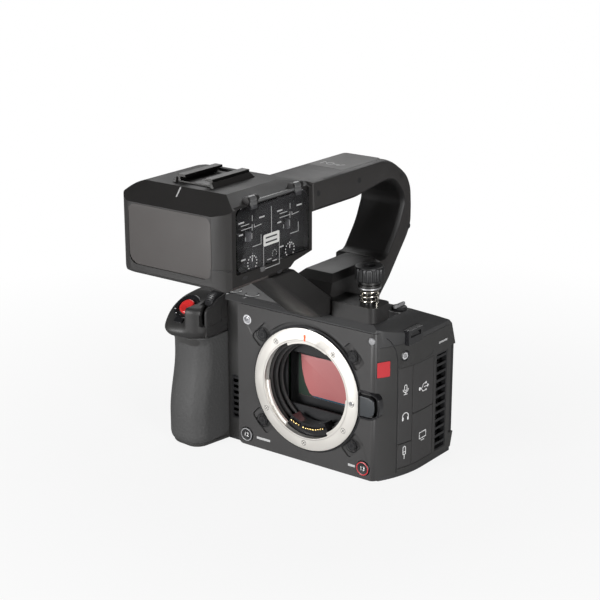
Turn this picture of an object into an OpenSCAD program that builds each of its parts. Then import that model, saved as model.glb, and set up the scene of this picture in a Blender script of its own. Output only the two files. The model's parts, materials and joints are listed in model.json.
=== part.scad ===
// Compact digital cinema camera: body, side grip, top handle and audio unit.
// X points to the terminal side, Y to the rear and Z up. The origin is the
// mouth of the tripod socket, in the base, straight under the sensor plane.

/* [Body] */
// Lens axis above the middle of the casing walls
axis_up = 1.5; // [1:0.1:2.5]
// Lens axis to the terminal side
body_right = 52.2; // [50:0.2:58]
// Lens axis to the grip side of the casing
body_left = 56; // [55:0.5:60]
// Sensor plane to the face of the front plate
body_front = 18; // [17:0.5:19]
// Sensor plane to the rear edge of the casing
body_rear = 39; // [38:0.5:46]
// Height of the casing walls
body_h = 82; // [81:0.5:90]
// Wall of the casing
wall = 3; // [2.5:0.1:3.5]
// Radius of the curved terminal side in plan
side_r = 60.7; // [58:0.1:70]
// Where the curved side meets the straight side
side_y = 15.3; // [12:0.1:18]
// Thickness of the front plate
plate_t = 3; // [2.6:0.1:3.4]
// Lens axis to the grip edge of the front plate
plate_left = 46.5; // [45:0.5:48]
// Thickness of the top cover
top_t = 3.5; // [3:0.1:4.5]
// Thickness of the base plate
base_t = 2; // [1.6:0.1:2.6]
// Thickness of the rear cover's rim
rear_t = 7; // [6.6:0.1:8]

/* [Lens mount] */
// Outer radius of the mount ring
ring_r = 34; // [33:0.25:35]
// Radius of the throat
throat_r = 27; // [26:0.25:28]
// Flange to sensor distance
flange_d = 20; // [19:0.5:21]
// Depth of the ring
ring_t = 5; // [4.5:0.25:5.5]
// Width of the sensor window
sensor_w = 36; // [34:1:38]
// Height of the sensor window
sensor_h = 24; // [22:1:26]

/* [Grip] */
// Lens axis to the outer side of the grip
grip_left = 85.5; // [84.5:0.5:90]
// Sensor plane to the front of the grip
grip_front = 39.5; // [39:0.5:43]
// Sensor plane to the rear of the grip
grip_rear = 31; // [28:0.5:34]
// Height of the grip's head up to the top of the casing walls
head_h = 19; // [17.5:0.5:20]
// Radius of the grip's front lobe
lobe_r = 14; // [13.5:0.25:15]
// Thickness of the rubber
rubber_t = 2; // [1.6:0.1:2.4]
// Slope of the grip head's front
head_tilt = 38; // [34:1:40]

/* [Handle] */
// Lens axis to the terminal side of the handle
handle_right = 12; // [11:0.5:13]
// Lens axis to the other side of the handle
handle_left = 17; // [16:0.5:18]
// Height of the handle above the top cover
handle_h = 73.6; // [71.6:0.1:76]
// Thickness of the handle's top bar
bar_t = 16.3; // [15:0.1:17.5]
// Sensor plane to the rearmost point of the handle
handle_rear = 62.7; // [60:0.1:66]
// Wall of the handle shells
handle_wall = 2.2; // [1.8:0.1:2.6]

/* [Audio unit] */
// Lens axis to the terminal side of the unit
box_right = 12; // [11:0.5:14]
// Lens axis to the other side of the unit
box_left = 58.3; // [57:0.1:62]
// Sensor plane to the front of the unit
box_front = 97.5; // [94:0.5:102]
// Distance from sensor plane to the rear of the unit
box_rear = 30; // [29:0.5:32]
// Height of the unit
box_h = 44.6; // [43:0.2:46]
// Top of the unit above the top of the handle
box_up = 2.9; // [2.5:0.1:4]
// Wall of the unit
box_wall = 2.2; // [1.8:0.1:2.6]

/* [Thumbscrew] */
// Radius of the knob
knob_r = 7.6; // [7:0.1:8.4]
// Height of the knurled part
knob_h = 7.8; // [7.5:0.1:10]
// Thread radius
screw_r = 3; // [2.8:0.1:3.2]
// Wire radius of the spring
wire_r = 0.55; // [0.5:0.01:0.6]
// Coils in the spring
coils = 3.5; // [3:0.5:4]
// Length of the spring
spring_l = 8.4; // [8:0.1:9]

/* [Hidden] */

$fn = 64;
// One named overrun for every cut
over = 1;
// Clearances: a moving fit, a pin in its bore and the gap beside a moving cover
clear = 0.25;
pin_clear = 0.05;
seam = 0.15;

// Heights that follow the casing
top_z = body_h + top_t;
axis_z = body_h / 2 + axis_up;
grip_h = body_h - head_h;
handle_z = top_z + handle_h;
box_z1 = handle_z + box_up;
box_z0 = box_z1 - box_h;

// Planes of the body
plate_face = -body_front;
plate_back = plate_face + plate_t;
ring_face = -flange_d;
ring_back = ring_face + ring_t;
cover_rear = body_rear + rear_t;
inner_front = plate_back + wall;

// Helpers: outlines drawn in (y, z) and run along x, or drawn in (x, z) and run along y
module along_x(x0, x1) {
    translate([x0, 0, 0]) rotate([90, 0, 90]) linear_extrude(x1 - x0) children();
}
module along_y(y0, y1) {
    translate([0, y1, 0]) rotate([90, 0, 0]) linear_extrude(y1 - y0) children();
}
module span(a, b) {
    translate(a) cube([b[0] - a[0], b[1] - a[1], b[2] - a[2]]);
}
// A rod along y or along x, from a start point
module rod_y(p, r, l) {
    translate(p) rotate([-90, 0, 0]) cylinder(r = r, h = l);
}
module rod_x(p, r, l) {
    translate(p) rotate([0, 90, 0]) cylinder(r = r, h = l);
}
// Rounded rectangle from corner a to corner b
module rounded(a, b, r) {
    translate([a[0] + r, a[1]]) square([b[0] - a[0] - 2 * r, b[1] - a[1]]);
    translate([a[0], a[1] + r]) square([b[0] - a[0], b[1] - a[1] - 2 * r]);
    for (x = [a[0] + r, b[0] - r], y = [a[1] + r, b[1] - r]) translate([x, y]) circle(r);
}
// Plan of the body: straight on the grip side, a corner round, an arc and a straight on the
// terminal side. A band from y0 to y1 is kept, and inset draws the outline in.
corner_r = 3;
side_x0 = body_right - side_r;
corner_y = plate_face + corner_r;
corner_x = side_x0 + sqrt((side_r - corner_r) * (side_r - corner_r)
    - (side_y - corner_y) * (side_y - corner_y));
tangent_y = side_y + (corner_y - side_y) * side_r / (side_r - corner_r);
module plan(left, y0, y1, inset = 0) {
    intersection() {
        translate([-left + inset, y0]) square([left + body_right - 2 * inset, y1 - y0]);
        union() {
            translate([-left, plate_face + inset]) square([left + corner_x, y1 - plate_face]);
            if (corner_r > inset) translate([corner_x, corner_y]) circle(corner_r - inset);
            intersection() {
                translate([side_x0, side_y]) circle(side_r - inset, $fn = 180);
                translate([-over, tangent_y]) square([body_right + over * 2, side_y - tangent_y]);
            }
            translate([-over, side_y]) square([body_right - inset + over, y1 - side_y]);
        }
    }
}
// Slopes of the body's top: down to the rear, and down to the terminal side
slope_y = 20;
slope_fall = 8.8;
edge_x = 40;
edge_fall = [5, 9];
lid_x = 43;
lid_drop = 8;
lid_z = body_h - lid_drop;
function deck(y) = y < slope_y ? top_z : top_z - (y - slope_y) * slope_fall / (body_rear - slope_y);
module side_profile(t) {
    polygon([[plate_face, -over], [plate_face, body_h + seam - t], [plate_face + chamfer, top_z - t],
        [slope_y, top_z - t], [body_rear, top_z - slope_fall - t], [body_rear + chamfer, lid_z - t],
        [cover_rear, screen_z[1] + over], [cover_rear, screen_z[0] - over], [cover_rear - chamfer, -over]]);
}
module front_profile(t) {
    polygon([[-top_left, -over], [-top_left, top_z - t], [edge_x - t / 2, top_z - t],
        [(edge_x + body_right) / 2 + chamfer - t * 0.7, top_z - edge_fall[0] - t],
        [body_right - t * 0.86, top_z - edge_fall[1] - t / 2], [body_right - t * 0.86, -over]]);
}
module envelope(t = 0) {
    intersection() {
        along_x(-top_left, body_right) side_profile(t);
        along_y(plate_face, cover_rear) front_profile(t);
    }
}
// Outer x of the terminal side at a given y
function side_x(y) = y > side_y ? body_right :
    body_right - side_r + sqrt(side_r * side_r - (y - side_y) * (y - side_y));

// Doors over the terminals: columns, rows and thickness
door_t = 1.5;
door_gap = 0.4;
door_y = [-4.2, 5.5, 24.5];
sill = 2.5;
shoulder_h = 21.5;
door_z = [base_t + sill, body_h - shoulder_h];
remote_share = 0.2195;
video_share = 0.4024;
remote_z = body_h * remote_share;
video_z = body_h * video_share;
socket_t = 7;
jack_r = 1.8;
jack_shares = [0.61, 0.4];
jack_z = body_h * jack_shares;
usb = [3.4, 9.2];
hdmi = [5.6, 15.2];
data_shares = [0.561, 0.2195];
usb_z = body_h * data_shares[0];
hdmi_z = body_h * data_shares[1];

// Vents: louvres in the terminal side and in the front wall beside the grip
vent_y = [27, 38];
vent_z = [base_t + sill, body_h - shoulder_h - seam];
vent_blades = 12;
vent_rim = 0.8;
blade_t = 1.3;
blade_tilt = 30;
intake_x = [-53.4, -47];
intake_shares = [0.1585, 0.4695];
intake_z = body_h * intake_shares;
intake_blades = 7;

// Controls on the front plate
release_x = [34.9, 42.8];
release_low = 5.1;
release_high = 5.3;
release_z = [axis_z - release_low, axis_z + release_high];
release_out = 2.6;
release_t = 5.6;
release_travel = 2;
lock_r = 1.1;
lock_x = 30.6;
lock_out = 1.2;
plate_button_x = [-40.8, 36.7];
plate_button_z = 6.7;
plate_button_r = 4;
button_out = 0.9;
button_deep = 4.4;
lozenge_deep = 1.2;
plate_screw = [29.5, 24.7];
plate_screw_r = 2.6;
screw_shank_r = 1.2;
screw_shank_l = 3.4;
lozenge_l = 7;
lozenge_w = 4.2;

// Mount parts behind the ring
ring_lip = 1.6;
ring_bevel = 1.6;
pocket_r = 27.5;
lug_r = 25.3;
lug_t = 1.4;
lug_arc = 58;
barrel_in = 3.5;
barrel_r = ring_r - barrel_in;
barrel_wall = 3.6;
barrel_l = 9;
flange_t = 1.4;
flange_r = 33;
baffle_t = 1;
baffle_over = 3;
contact_deep = 10.1;
contact_in = barrel_r - contact_deep;
contact_arc = 62;
contact_t = 7;
pin_r = 0.75;
pin_count = [4, 9];
crescent_r = 37;
sensor_t = 3;
sensor_rim = 6;
board_t = 1.6;
board_over = 4;
post_r = 2;
main_board_y = 19;

// Fan
fan_r = 13;
fan_t = 9;
fan_wall = 1.5;
fan_x = 29.5;
fan_y = 22.5;
fan_share = 0.39024;
fan_z = body_h * fan_share;
fan_hub_r = 5;
fan_axle_r = 1.2;
fan_blades = 9;
fan_blade_t = 1;
fan_tip = 0.6;

// Tripod socket: a quarter inch thread and the hole for an anti-twist pin
socket_r = 2.6;
socket_deep = 7;
boss_r = 7;
boss_h = 8;
twist_r = 2.1;
twist_y = 12;
twist_deep = 4;

// Screen on the rear
screen_x = [-34, 46.2];
screen_sink = 4;
screen_out = 2.4;
screen_shares = [0.134, 0.744];
screen_y = [cover_rear - screen_sink, cover_rear + screen_out];
screen_z = body_h * screen_shares;
screen_gap = 0.4;
hinge_x = 49.4;
hinge_in = 1.2;
hinge_y = cover_rear - hinge_in;
hinge_r = 2.2;
hinge_pin_r = 0.9;
hinge_pin_l = 3;
arm_shares = [0.244, 0.634];
arm_half = 1.7;
arm_z = body_h * arm_shares;
arm_y = [hinge_y - arm_half, hinge_y + arm_half];
tray_t = 1.6;

// Controls on the top cover
top_left = 60;
top_button = [[-53.7, -11.2], [-41.6, -11.2]];
top_button_r = 3.3;
cap_out = 0.7;
power_at = [35.5, 15.5];
power_r = 4.2;
power_h = 1.4;
power_stem_r = 2;
rib_w = 2.2;
rib_h = 1.6;
rib_l = 5;
chamfer = 3;

// Body shoe and the handle's tongue
shoe_y = [-2, 17];
shoe_w = 22;
shoe_slot = 18.6;
shoe_mouth = 12.4;
shoe_h = 4.2;
shoe_floor = 1;
shoe_lip = 1.2;
tongue_t = 1.7;

// Grip
neck_r = 12;
grip_inner = [-body_left, -15];
core_split = -9;
front_at = [-65.5, 8.5];
front_r = 9;
waist_in = 5;
waist_shares = [0.349, 0.873];
waist_z = grip_h * waist_shares;
toe_in = 2;
toe_h = 6;
battery_room = 6.4;
battery_size = [21, 38.4, grip_h - battery_room];
battery_at = [-81, -25.4, 2.5];
battery_gap = 0.3;
cell_door_y = 15.5;
cell_door_t = 1.9;
card_door_y = [-6, 17.5];
card_shares = [0.19, 0.794];
card_door_z = grip_h * card_shares;
card_door_t = 1.6;
joystick_share = 0.81;
joystick_at = [-66, grip_h * joystick_share];
joystick_r = 3.2;
joystick_h = 3.4;
stick_r = 1.4;
dial_share = 0.476;
dial_at = [-66, grip_h * dial_share];
dial_r = 9;
dial_t = 2.4;
dial_stem_r = 2;
dial_stem_l = 5;
// Grip head
head_over = 1.8;
head_rim = 8;
head_round = 5;
head_top = [[-69.5, -12], [-61, -15], [-71, 18], [-61, 24]];
rec_down = 8.5;
rec_at = [-72.5, -29, top_z - rec_down];
rec_r = 4.5;
rec_out = 1.9;
rec_deep = 4;
sleeve_r = 5.6;
ring_out_r = 8.4;
ring_deep = 2.6;
lever_l = 2.6;
lever_w = 5;
wheel_down = 6.7;
wheel_at = [-60.6, -19.4, top_z - wheel_down];
wheel_r = 7.5;
wheel_w = 5;
wheel_axle_r = 1.5;

// Handle outline: share of the way from the top to the foot, and points behind the sensor plane
foot_gap = 0.2;
foot_z = top_z + foot_gap;
foot_y = [-14, 30];
foot_h = 19.8;
foot_edge = 3.4;
block_x = [12, 40];
block_y = [-15.5, 1.5];
block_h = 8.3;
block_r = 4;
screw_at = [32, -7.5];
neck_front = 66.5;
neck_back = 44.7;
neck_foot = [-24, -4.2];
neck_bevel = 5;
neck_lift = 3;
edge_in = 2;
edge_run = 2.5;
casing_screw_r = 1.5;
casing_screw_t = 1.6;

// Thumbscrew above the block
washer_t = 0.8;
collar_r = 6;
collar_h = 3.2;
thread_r = 2.4;
spring_r = 4.6;
ring_steps = 8;
wire_sides = 6;

// Audio unit
box_corner = 10;
box_side_down = 5;
box_side_z = box_z1 - box_side_down;
box_top_run = 10.3;
front_run = 9.1;
front_fall = 4;
box_front_down = 8.2;
box_front_z = box_z1 - box_front_down;
crest = 12.8;
box_back_y = 46;
under_y = [51, 44.6];
under_rise = [4.2, 6.6];
fascia_x = [-50, 2.6];
fascia_low = 5.1;
fascia_high = 8.7;
fascia_z = [box_z0 + fascia_low, box_z1 - fascia_high];
fascia_t = 1;
fascia_r = 5;
panel_front = 7;
panel_rear = 2.5;
panel_low = 7.6;
panel_high = 6.6;
panel_y = [-box_front + panel_front, -box_rear - panel_rear];
panel_z = [box_z0 + panel_low, box_z1 - panel_high];
panel_deep = 5.2;
panel_t = 1.5;
cover_t = 1.2;
cover_gap = 0.35;
knuckle_r = 2;
knuckle_pin_r = 0.7;
knuckle_l = 5;
knuckle_y = [-76.4, -41.2];
knuckle_in = 2.1;
knuckle_down = 2.8;
knuckle_at = [box_right - knuckle_in, box_z1 - knuckle_down];
ear_t = 1.4;
level_r = 3.8;
level_h = 2.8;
level_share = 0.267;
level_z = box_z0 + box_h * level_share;
level_stem_r = 1.4;
switch_share = 0.5135;
switch_z = box_z0 + box_h * switch_share;
switch_y = [-75.4, -45.6];
switch_size = [2.6, 4.6];
switch_h = 1.6;
switch_travel = 3;
plinth = [[-36.2, -80], [-9.8, -48]];
plinth_h = 2.6;
plinth_in = 1.8;
shoe_out = [22.2, 29];
rail_h = 4.1;
rail_t = 1;
rail_lip = 3.1;
rail_top = 1.4;
xlr_y = [-76.5, -49];
xlr_share = 0.4955;
xlr_z = box_z0 + box_h * xlr_share;
xlr_r = 11.4;
xlr_bore_r = 9.6;
xlr_deep = 17;
xlr_pin_r = 1.1;
xlr_pcd_r = 4.6;

// Body casing

module mount_hole(r, y0, y1) {
    rod_y([0, y0 - over, axis_z], r, y1 - y0 + 2 * over);
}

module door_pockets(depth, grow) {
    for (d = [[0, 1, door_z[0], remote_z], [0, 1, remote_z + door_gap, door_z[1]],
            [1, 2, door_z[0], video_z], [1, 2, video_z + door_gap, door_z[1]]])
        intersection() {
            translate([0, 0, d[2] - grow]) linear_extrude(d[3] - d[2] + 2 * grow)
                difference() {
                    plan(body_left, plate_back, body_rear, -over);
                    plan(body_left, plate_face - over, body_rear + over, depth);
                }
            span([body_right / 2, door_y[d[0]] + (d[0] == 0 ? 0 : door_gap) - grow, 0],
                [body_right + over, door_y[d[1]] + grow, body_h]);
        }
}

module socket_holes(r_extra, x0, x1) {
    jack_y = (door_y[0] + door_y[1]) / 2;
    data_y = (door_y[1] + door_y[2]) / 2;
    for (z = concat(jack_z, [(door_z[0] + remote_z) / 2])) rod_x([x0, jack_y, z], jack_r + r_extra, x1 - x0);
    span([x0, data_y - usb[0] / 2 - r_extra, usb_z - usb[1] / 2 - r_extra],
        [x1, data_y + usb[0] / 2 + r_extra, usb_z + usb[1] / 2 + r_extra]);
    span([x0, data_y - hdmi[0] / 2 - r_extra, hdmi_z - hdmi[1] / 2 - r_extra],
        [x1, data_y + hdmi[0] / 2 + r_extra, hdmi_z + hdmi[1] / 2 + r_extra]);
}

module release_slot(grow, y0, y1) {
    span([release_x[0] - grow, y0, release_z[0] - grow], [release_x[1] + grow, y1, release_z[1] + grow]);
}

module plate_screw_holes(r, y0, l) {
    for (x = [-1, 1], z = [-1, 1])
        rod_y([x * plate_screw[0], y0, axis_z + z * plate_screw[1]], r, l);
}

// Everything above the underside of the top cover
module top_room() {
    along_x(-top_left, body_right + over) polygon([[plate_face - over, body_h], [slope_y, body_h],
        [body_rear + over, body_h - slope_fall], [body_rear + over, top_z + over],
        [plate_face - over, top_z + over]]);
    span([lid_x - seam, plate_back - over, lid_z], [body_right + over, body_rear + over, top_z + over]);
}

module body_shell() {
    color([0.2, 0.2, 0.21])
    difference() {
        translate([0, 0, base_t]) linear_extrude(body_h - base_t) plan(body_left, plate_back, body_rear);
        translate([0, 0, -seam]) top_room();
        lamp_places(clear / 4);
        translate([0, 0, base_t - over]) linear_extrude(body_h - base_t + 2 * over)
            plan(body_left, inner_front, body_rear + over, wall);
        mount_hole(barrel_r + seam, plate_back, inner_front);
        rod_y([lock_x, plate_back - over, axis_z], lock_r + pin_clear, wall + 2 * over);
        release_slot(clear, plate_back - over, inner_front + over);
        for (x = plate_button_x)
            rod_y([x, plate_back - over, plate_button_z], plate_button_r + clear, wall + 2 * over);
        plate_screw_holes(screw_shank_r, plate_back - over, wall + over);
        door_pockets(door_t + seam, seam);
        socket_holes(clear, body_right / 2, body_right + over);
        span([body_right / 2, vent_y[0], vent_z[0]], [body_right + over, vent_y[1], vent_z[1]]);
        span([intake_x[0], plate_back - over, intake_z[0]], [intake_x[1], inner_front + over, intake_z[1]]);
    }
}

module front_plate() {
    color([0.24, 0.24, 0.245])
    difference() {
        intersection() {
            linear_extrude(body_h) plan(plate_left, plate_face, plate_back);
            along_y(plate_face, plate_back)
                rounded([-plate_left, base_t / 4], [body_right, body_h - clear], chamfer);
        }
        mount_hole(ring_r + clear, plate_face, plate_back);
        intersection() {
            rod_y([0, plate_face - over, axis_z], crescent_r, over + plate_t / 2);
            span([-ring_r, plate_face - over, axis_z + plate_screw[1]], [ring_r, plate_back, body_h]);
        }
        release_slot(clear, plate_face - over, plate_back + over);
        for (x = plate_button_x)
            rod_y([x, plate_face - over, plate_button_z], plate_button_r + clear, plate_t + 2 * over);
        plate_screw_holes(screw_shank_r, plate_face - over, plate_t + 2 * over);
        for (x = [-1, 1], z = [-1, 1])
            translate([x * plate_screw[0], plate_face + lozenge_deep, axis_z + z * plate_screw[1]])
                rotate([90, z * x * 45, 0])
                linear_extrude(lozenge_deep + over)
                rounded([-lozenge_l, -lozenge_w], [lozenge_l, lozenge_w], lozenge_w / 2);
        lamp_places(clear / 4);
    }
}

module top_cover() {
    color([0.36, 0.36, 0.37])
    difference() {
        intersection() {
            linear_extrude(top_z) plan(top_left, plate_face + clear, body_rear);
            envelope();
            union() {
                top_room();
                span([lid_x, plate_back, lid_z], [body_right, body_rear, top_z]);
            }
        }
        // Hollow of the shoulder on the terminal side
        intersection() {
            translate([0, 0, lid_z - over]) linear_extrude(top_z) plan(body_left, inner_front, body_rear + over, wall);
            envelope(top_t);
        }
        for (p = top_button) translate([p[0], p[1], body_h - over])
            cylinder(r = top_button_r + clear / 2, h = top_t + 2 * over);
        translate([power_at[0], power_at[1], body_h - over])
            cylinder(r = power_stem_r + pin_clear, h = top_t + 2 * over);
        translate([screw_at[0], screw_at[1], body_h - over])
            cylinder(r = thread_r + pin_clear, h = top_t + 2 * over);
        wheel_room();
        // Behind the front plate, below its top edge
        span([0, plate_face - over, lid_z - over], [body_right + over, plate_back, body_h]);
    }
}

module base_plate() {
    color([0.16, 0.16, 0.165])
    difference() {
        union() {
            linear_extrude(base_t) plan(body_left, plate_back, cover_rear - chamfer);
            cylinder(r = boss_r, h = boss_h);
            translate([0, twist_y, 0]) cylinder(r = twist_r + base_t, h = twist_deep + base_t);
        }
        translate([0, 0, -over]) cylinder(r = socket_r, h = socket_deep + over);
        translate([0, twist_y, -over]) cylinder(r = twist_r, h = twist_deep + over);
    }
}

module rear_cover() {
    color([0.19, 0.19, 0.2])
    difference() {
        union() {
            intersection() {
                translate([0, 0, base_t]) linear_extrude(top_z)
                    plan(body_left, body_rear, cover_rear);
                envelope();
            }
            translate([0, 0, base_t]) linear_extrude(screen_z[1] + chamfer)
                plan(body_left, screen_y[0] - screen_gap - tray_t, body_rear, wall + seam);
        }
        span([screen_x[0] - screen_gap, screen_y[0] - screen_gap, screen_z[0] - screen_gap],
            [body_right + over, cover_rear + over, screen_z[1] + screen_gap]);
    }
    color([0.19, 0.19, 0.2])
    for (z = [screen_z[0] - screen_gap - hinge_pin_l, screen_z[1] + screen_gap - hinge_pin_l])
        translate([hinge_x, hinge_y, z]) cylinder(r = hinge_pin_r, h = 2 * hinge_pin_l);
}

// Slot shoe on the body top, open to the rear and front
module shoe(w, y0, y1, z0, h, lip) {
    along_y(y0, y1) difference() {
        translate([-w / 2, z0]) square([w, h]);
        translate([-shoe_slot / 2, z0 + shoe_floor]) square([shoe_slot, h - shoe_floor - lip]);
        translate([-shoe_mouth / 2, z0 + shoe_floor]) square([shoe_mouth, h]);
    }
}

module body_shoe() {
    color([0.7, 0.7, 0.72]) shoe(shoe_w, shoe_y[0], shoe_y[1], top_z, shoe_h, shoe_lip);
}

// Lens mount

module sector(r0, r1, a0, a1, y0, l) {
    rotate_extrude_y(a0, a1 - a0, y0) translate([r0, 0]) square([r1 - r0, l]);
}
// Turns an outline drawn in (radius, depth) about the lens axis, from angle a0 over an arc
module rotate_extrude_y(a0, arc, y0) {
    translate([0, y0, axis_z]) rotate([-90, 0, 0]) rotate([0, 0, -a0 - arc])
        rotate_extrude(angle = arc, $fn = 128) children();
}

module mount_ring() {
    color([0.88, 0.88, 0.9])
    difference() {
        union() {
            difference() {
                rod_y([0, ring_face, axis_z], ring_r, ring_t, $fn = 128);
                rod_y([0, ring_face - over, axis_z], throat_r, ring_lip + over, $fn = 128);
                rod_y([0, ring_face + ring_lip, axis_z], pocket_r, ring_t, $fn = 128);
            }
            for (a = [90, 210, 330])
                sector(lug_r, pocket_r + over, a - lug_arc / 2, a + lug_arc / 2,
                    ring_face + ring_lip, lug_t);
        }
        rod_y([lock_x, ring_face - over, axis_z], lock_r + pin_clear, ring_t + 2 * over);
        rotate_extrude_y(0, 360, ring_face - over)
            polygon([[ring_r - ring_bevel, 0], [ring_r + over, 0], [ring_r + over, over + ring_bevel],
                [ring_r, over + ring_bevel / 2], [ring_r - ring_bevel, over]]);
    }
}

module mount_barrel() {
    w = sensor_w / 2 + baffle_over;
    h = sensor_h / 2 + baffle_over;
    color([0.06, 0.06, 0.065]) {
        difference() {
            union() {
                rod_y([0, plate_back, axis_z], barrel_r, barrel_l);
                rod_y([0, inner_front, axis_z], flange_r, flange_t);
            }
            rod_y([0, plate_back - over, axis_z], barrel_r - barrel_wall, barrel_l + 2 * over);
            rod_y([lock_x, plate_back - over, axis_z], lock_r + clear, barrel_l + 2 * over);
        }
        difference() {
            rod_y([0, plate_back + barrel_l - baffle_t, axis_z], barrel_r - barrel_wall, baffle_t);
            span([-w, plate_back, axis_z - h], [w, plate_back + barrel_l + over, axis_z + h]);
        }
    }
}

module contact_block() {
    r0 = contact_in + pin_r * 3;
    color([0.07, 0.07, 0.075])
    sector(contact_in, barrel_r - barrel_wall, 270 - contact_arc / 2, 270 + contact_arc / 2,
        ring_face + ring_lip + lug_t + seam, contact_t);
    color([0.85, 0.66, 0.28])
    for (i = [0 : pin_count[0] + pin_count[1] - 1]) {
        step = (contact_arc - 8) / (pin_count[0] + pin_count[1]);
        a = 270 - contact_arc / 2 + 4 + step * (i + (i < pin_count[0] ? 0 : 1));
        rod_y([r0 * cos(a), ring_face + ring_lip + lug_t - pin_r, axis_z + r0 * sin(a)], pin_r, pin_r * 2);
    }
}

module sensor() {
    w = sensor_w / 2 + sensor_rim;
    h = sensor_h / 2 + sensor_rim;
    color([0.75, 0.4, 0.42]) {
        span([-sensor_w / 2, -sensor_t / 3, axis_z - sensor_h / 2],
            [sensor_w / 2, 0, axis_z + sensor_h / 2]);
        span([-w, 0, axis_z - h], [w, sensor_t - sensor_t / 3, axis_z + h]);
    }
}

module circuit_boards() {
    w = sensor_w / 2 + sensor_rim + board_over;
    h = sensor_h / 2 + sensor_rim + board_over;
    y = sensor_t - sensor_t / 3;
    color([0.05, 0.3, 0.12]) {
        span([-w, y, axis_z - h], [w, y + board_t, axis_z + h]);
        for (x = [-1, 1], z = [-1, 1])
            rod_y([x * (w - post_r), inner_front + flange_t, axis_z + z * (h - post_r)], post_r,
                y - inner_front - flange_t);
        span([-body_left + wall, main_board_y, base_t], [fan_x - clear, main_board_y + board_t,
            body_h - board_over]);
    }
}

// Fan, between the boards and the vent

module fan_housing() {
    s = fan_r + fan_wall;
    color([0.1, 0.1, 0.1]) {
        difference() {
            span([fan_x, fan_y - s, fan_z - s], [fan_x + fan_t, fan_y + s, fan_z + s]);
            rod_x([fan_x + fan_wall, fan_y, fan_z], fan_r, fan_t);
            for (a = [0 : 60 : 359])
                rod_x([fan_x - over, fan_y + fan_r * 0.66 * cos(a), fan_z + fan_r * 0.66 * sin(a)],
                    fan_hub_r / 2, fan_t);
        }
        rod_x([fan_x, fan_y, fan_z], fan_axle_r, fan_t - fan_wall / 2);
        span([fan_x, fan_y - fan_r, base_t], [fan_x + fan_t, fan_y - fan_r + fan_wall, fan_z - fan_r]);
        span([fan_x, fan_y + fan_r - fan_wall, base_t], [fan_x + fan_t, fan_y + fan_r, fan_z - fan_r]);
    }
}

module fan_rotor() {
    x0 = fan_x + fan_wall + clear;
    l = fan_t - fan_wall * 2;
    color([0.14, 0.14, 0.14])
    difference() {
        union() {
            rod_x([x0, fan_y, fan_z], fan_hub_r, l);
            for (i = [0 : fan_blades - 1])
                translate([x0, fan_y, fan_z]) rotate([i * 360 / fan_blades, 0, 0])
                    translate([l / 8, 0, 0]) rotate([0, 0, 0])
                    span([0, -fan_blade_t / 2, fan_hub_r - fan_blade_t], [l * 3 / 4, fan_blade_t / 2,
                        fan_r - fan_tip]);
        }
        rod_x([x0 - over, fan_y, fan_z], fan_axle_r + pin_clear, l + 2 * over);
    }
}

// Terminals

module port_sockets() {
    color([0.1, 0.1, 0.105])
    difference() {
        intersection() {
            translate([0, 0, door_z[0]]) linear_extrude(door_z[1] - door_z[0])
                plan(body_left, inner_front + over, body_rear, wall);
            union() {
                for (y = [[door_y[0] + over, door_y[1] - over], [door_y[1], door_y[2] - over]])
                    span([side_x(y[0]) - wall - socket_t, y[0], door_z[0]], [body_right, y[1], door_z[1]]);
            }
        }
        socket_holes(0, side_x(door_y[0]) - wall - socket_t / 2, body_right + over);
    }
}

module port_cover(y0, y1, z0, z1) {
    color([0.17, 0.17, 0.175])
    intersection() {
        translate([0, 0, z0]) linear_extrude(z1 - z0) difference() {
            plan(body_left, plate_back, body_rear);
            plan(body_left, plate_face - over, body_rear + over, door_t);
        }
        span([body_right / 2, y0, z0], [body_right + over, y1, z1]);
    }
}
module audio_port_cover() { port_cover(door_y[0], door_y[1], remote_z + door_gap, door_z[1]); }
module remote_port_cover() { port_cover(door_y[0], door_y[1], door_z[0], remote_z); }
module data_port_cover() { port_cover(door_y[1] + door_gap, door_y[2], video_z + door_gap, door_z[1]); }
module video_port_cover() { port_cover(door_y[1] + door_gap, door_y[2], door_z[0], video_z); }

// Louvres: a rim and slanted blades, drawn in (across, up) with depth d
module louvres(w, h, d, count) {
    difference() {
        span([0, 0, 0], [w, d, h]);
        span([vent_rim, -over, vent_rim], [w - vent_rim, d + over, h - vent_rim]);
    }
    step = (h - 2 * vent_rim) / count;
    intersection() {
        span([0, 0, 0], [w, d, h]);
        for (i = [0 : count - 1])
            translate([vent_rim / 2, d / 2, vent_rim + step * (i + 1 / 2)]) rotate([-blade_tilt, 0, 0])
                span([0, -d, -blade_t / 2], [w - vent_rim, d, blade_t / 2]);
    }
}

module vent_grilles() {
    color([0.08, 0.08, 0.085]) {
        translate([body_right - seam, vent_y[0], vent_z[0]]) rotate([0, 0, 90])
            louvres(vent_y[1] - vent_y[0], vent_z[1] - vent_z[0], wall - 2 * seam, vent_blades);
        translate([intake_x[0], plate_back + seam, intake_z[0]])
            louvres(intake_x[1] - intake_x[0], intake_z[1] - intake_z[0], wall - 2 * seam, intake_blades);
    }
}

module casing_screws() {
    color([0.3, 0.3, 0.3]) {
        for (x = [-1, 1], z = [-1, 1])
            translate([x * plate_screw[0], plate_face + lozenge_deep, axis_z + z * plate_screw[1]]) {
                difference() {
                    rotate([90, 0, 0]) cylinder(r = plate_screw_r, h = lozenge_deep);
                    translate([0, -lozenge_deep / 2, 0]) rotate([90, 0, 0])
                        cylinder(r = plate_screw_r / 2, h = lozenge_deep, $fn = 6);
                }
                rotate([-90, 0, 0]) cylinder(r = screw_shank_r, h = screw_shank_l);
            }
        for (p = handle_screw_at)
            rod_x([handle_right - casing_screw_t - edge_run / 4, p[0], p[1]], casing_screw_r, casing_screw_t);
    }
}

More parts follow.
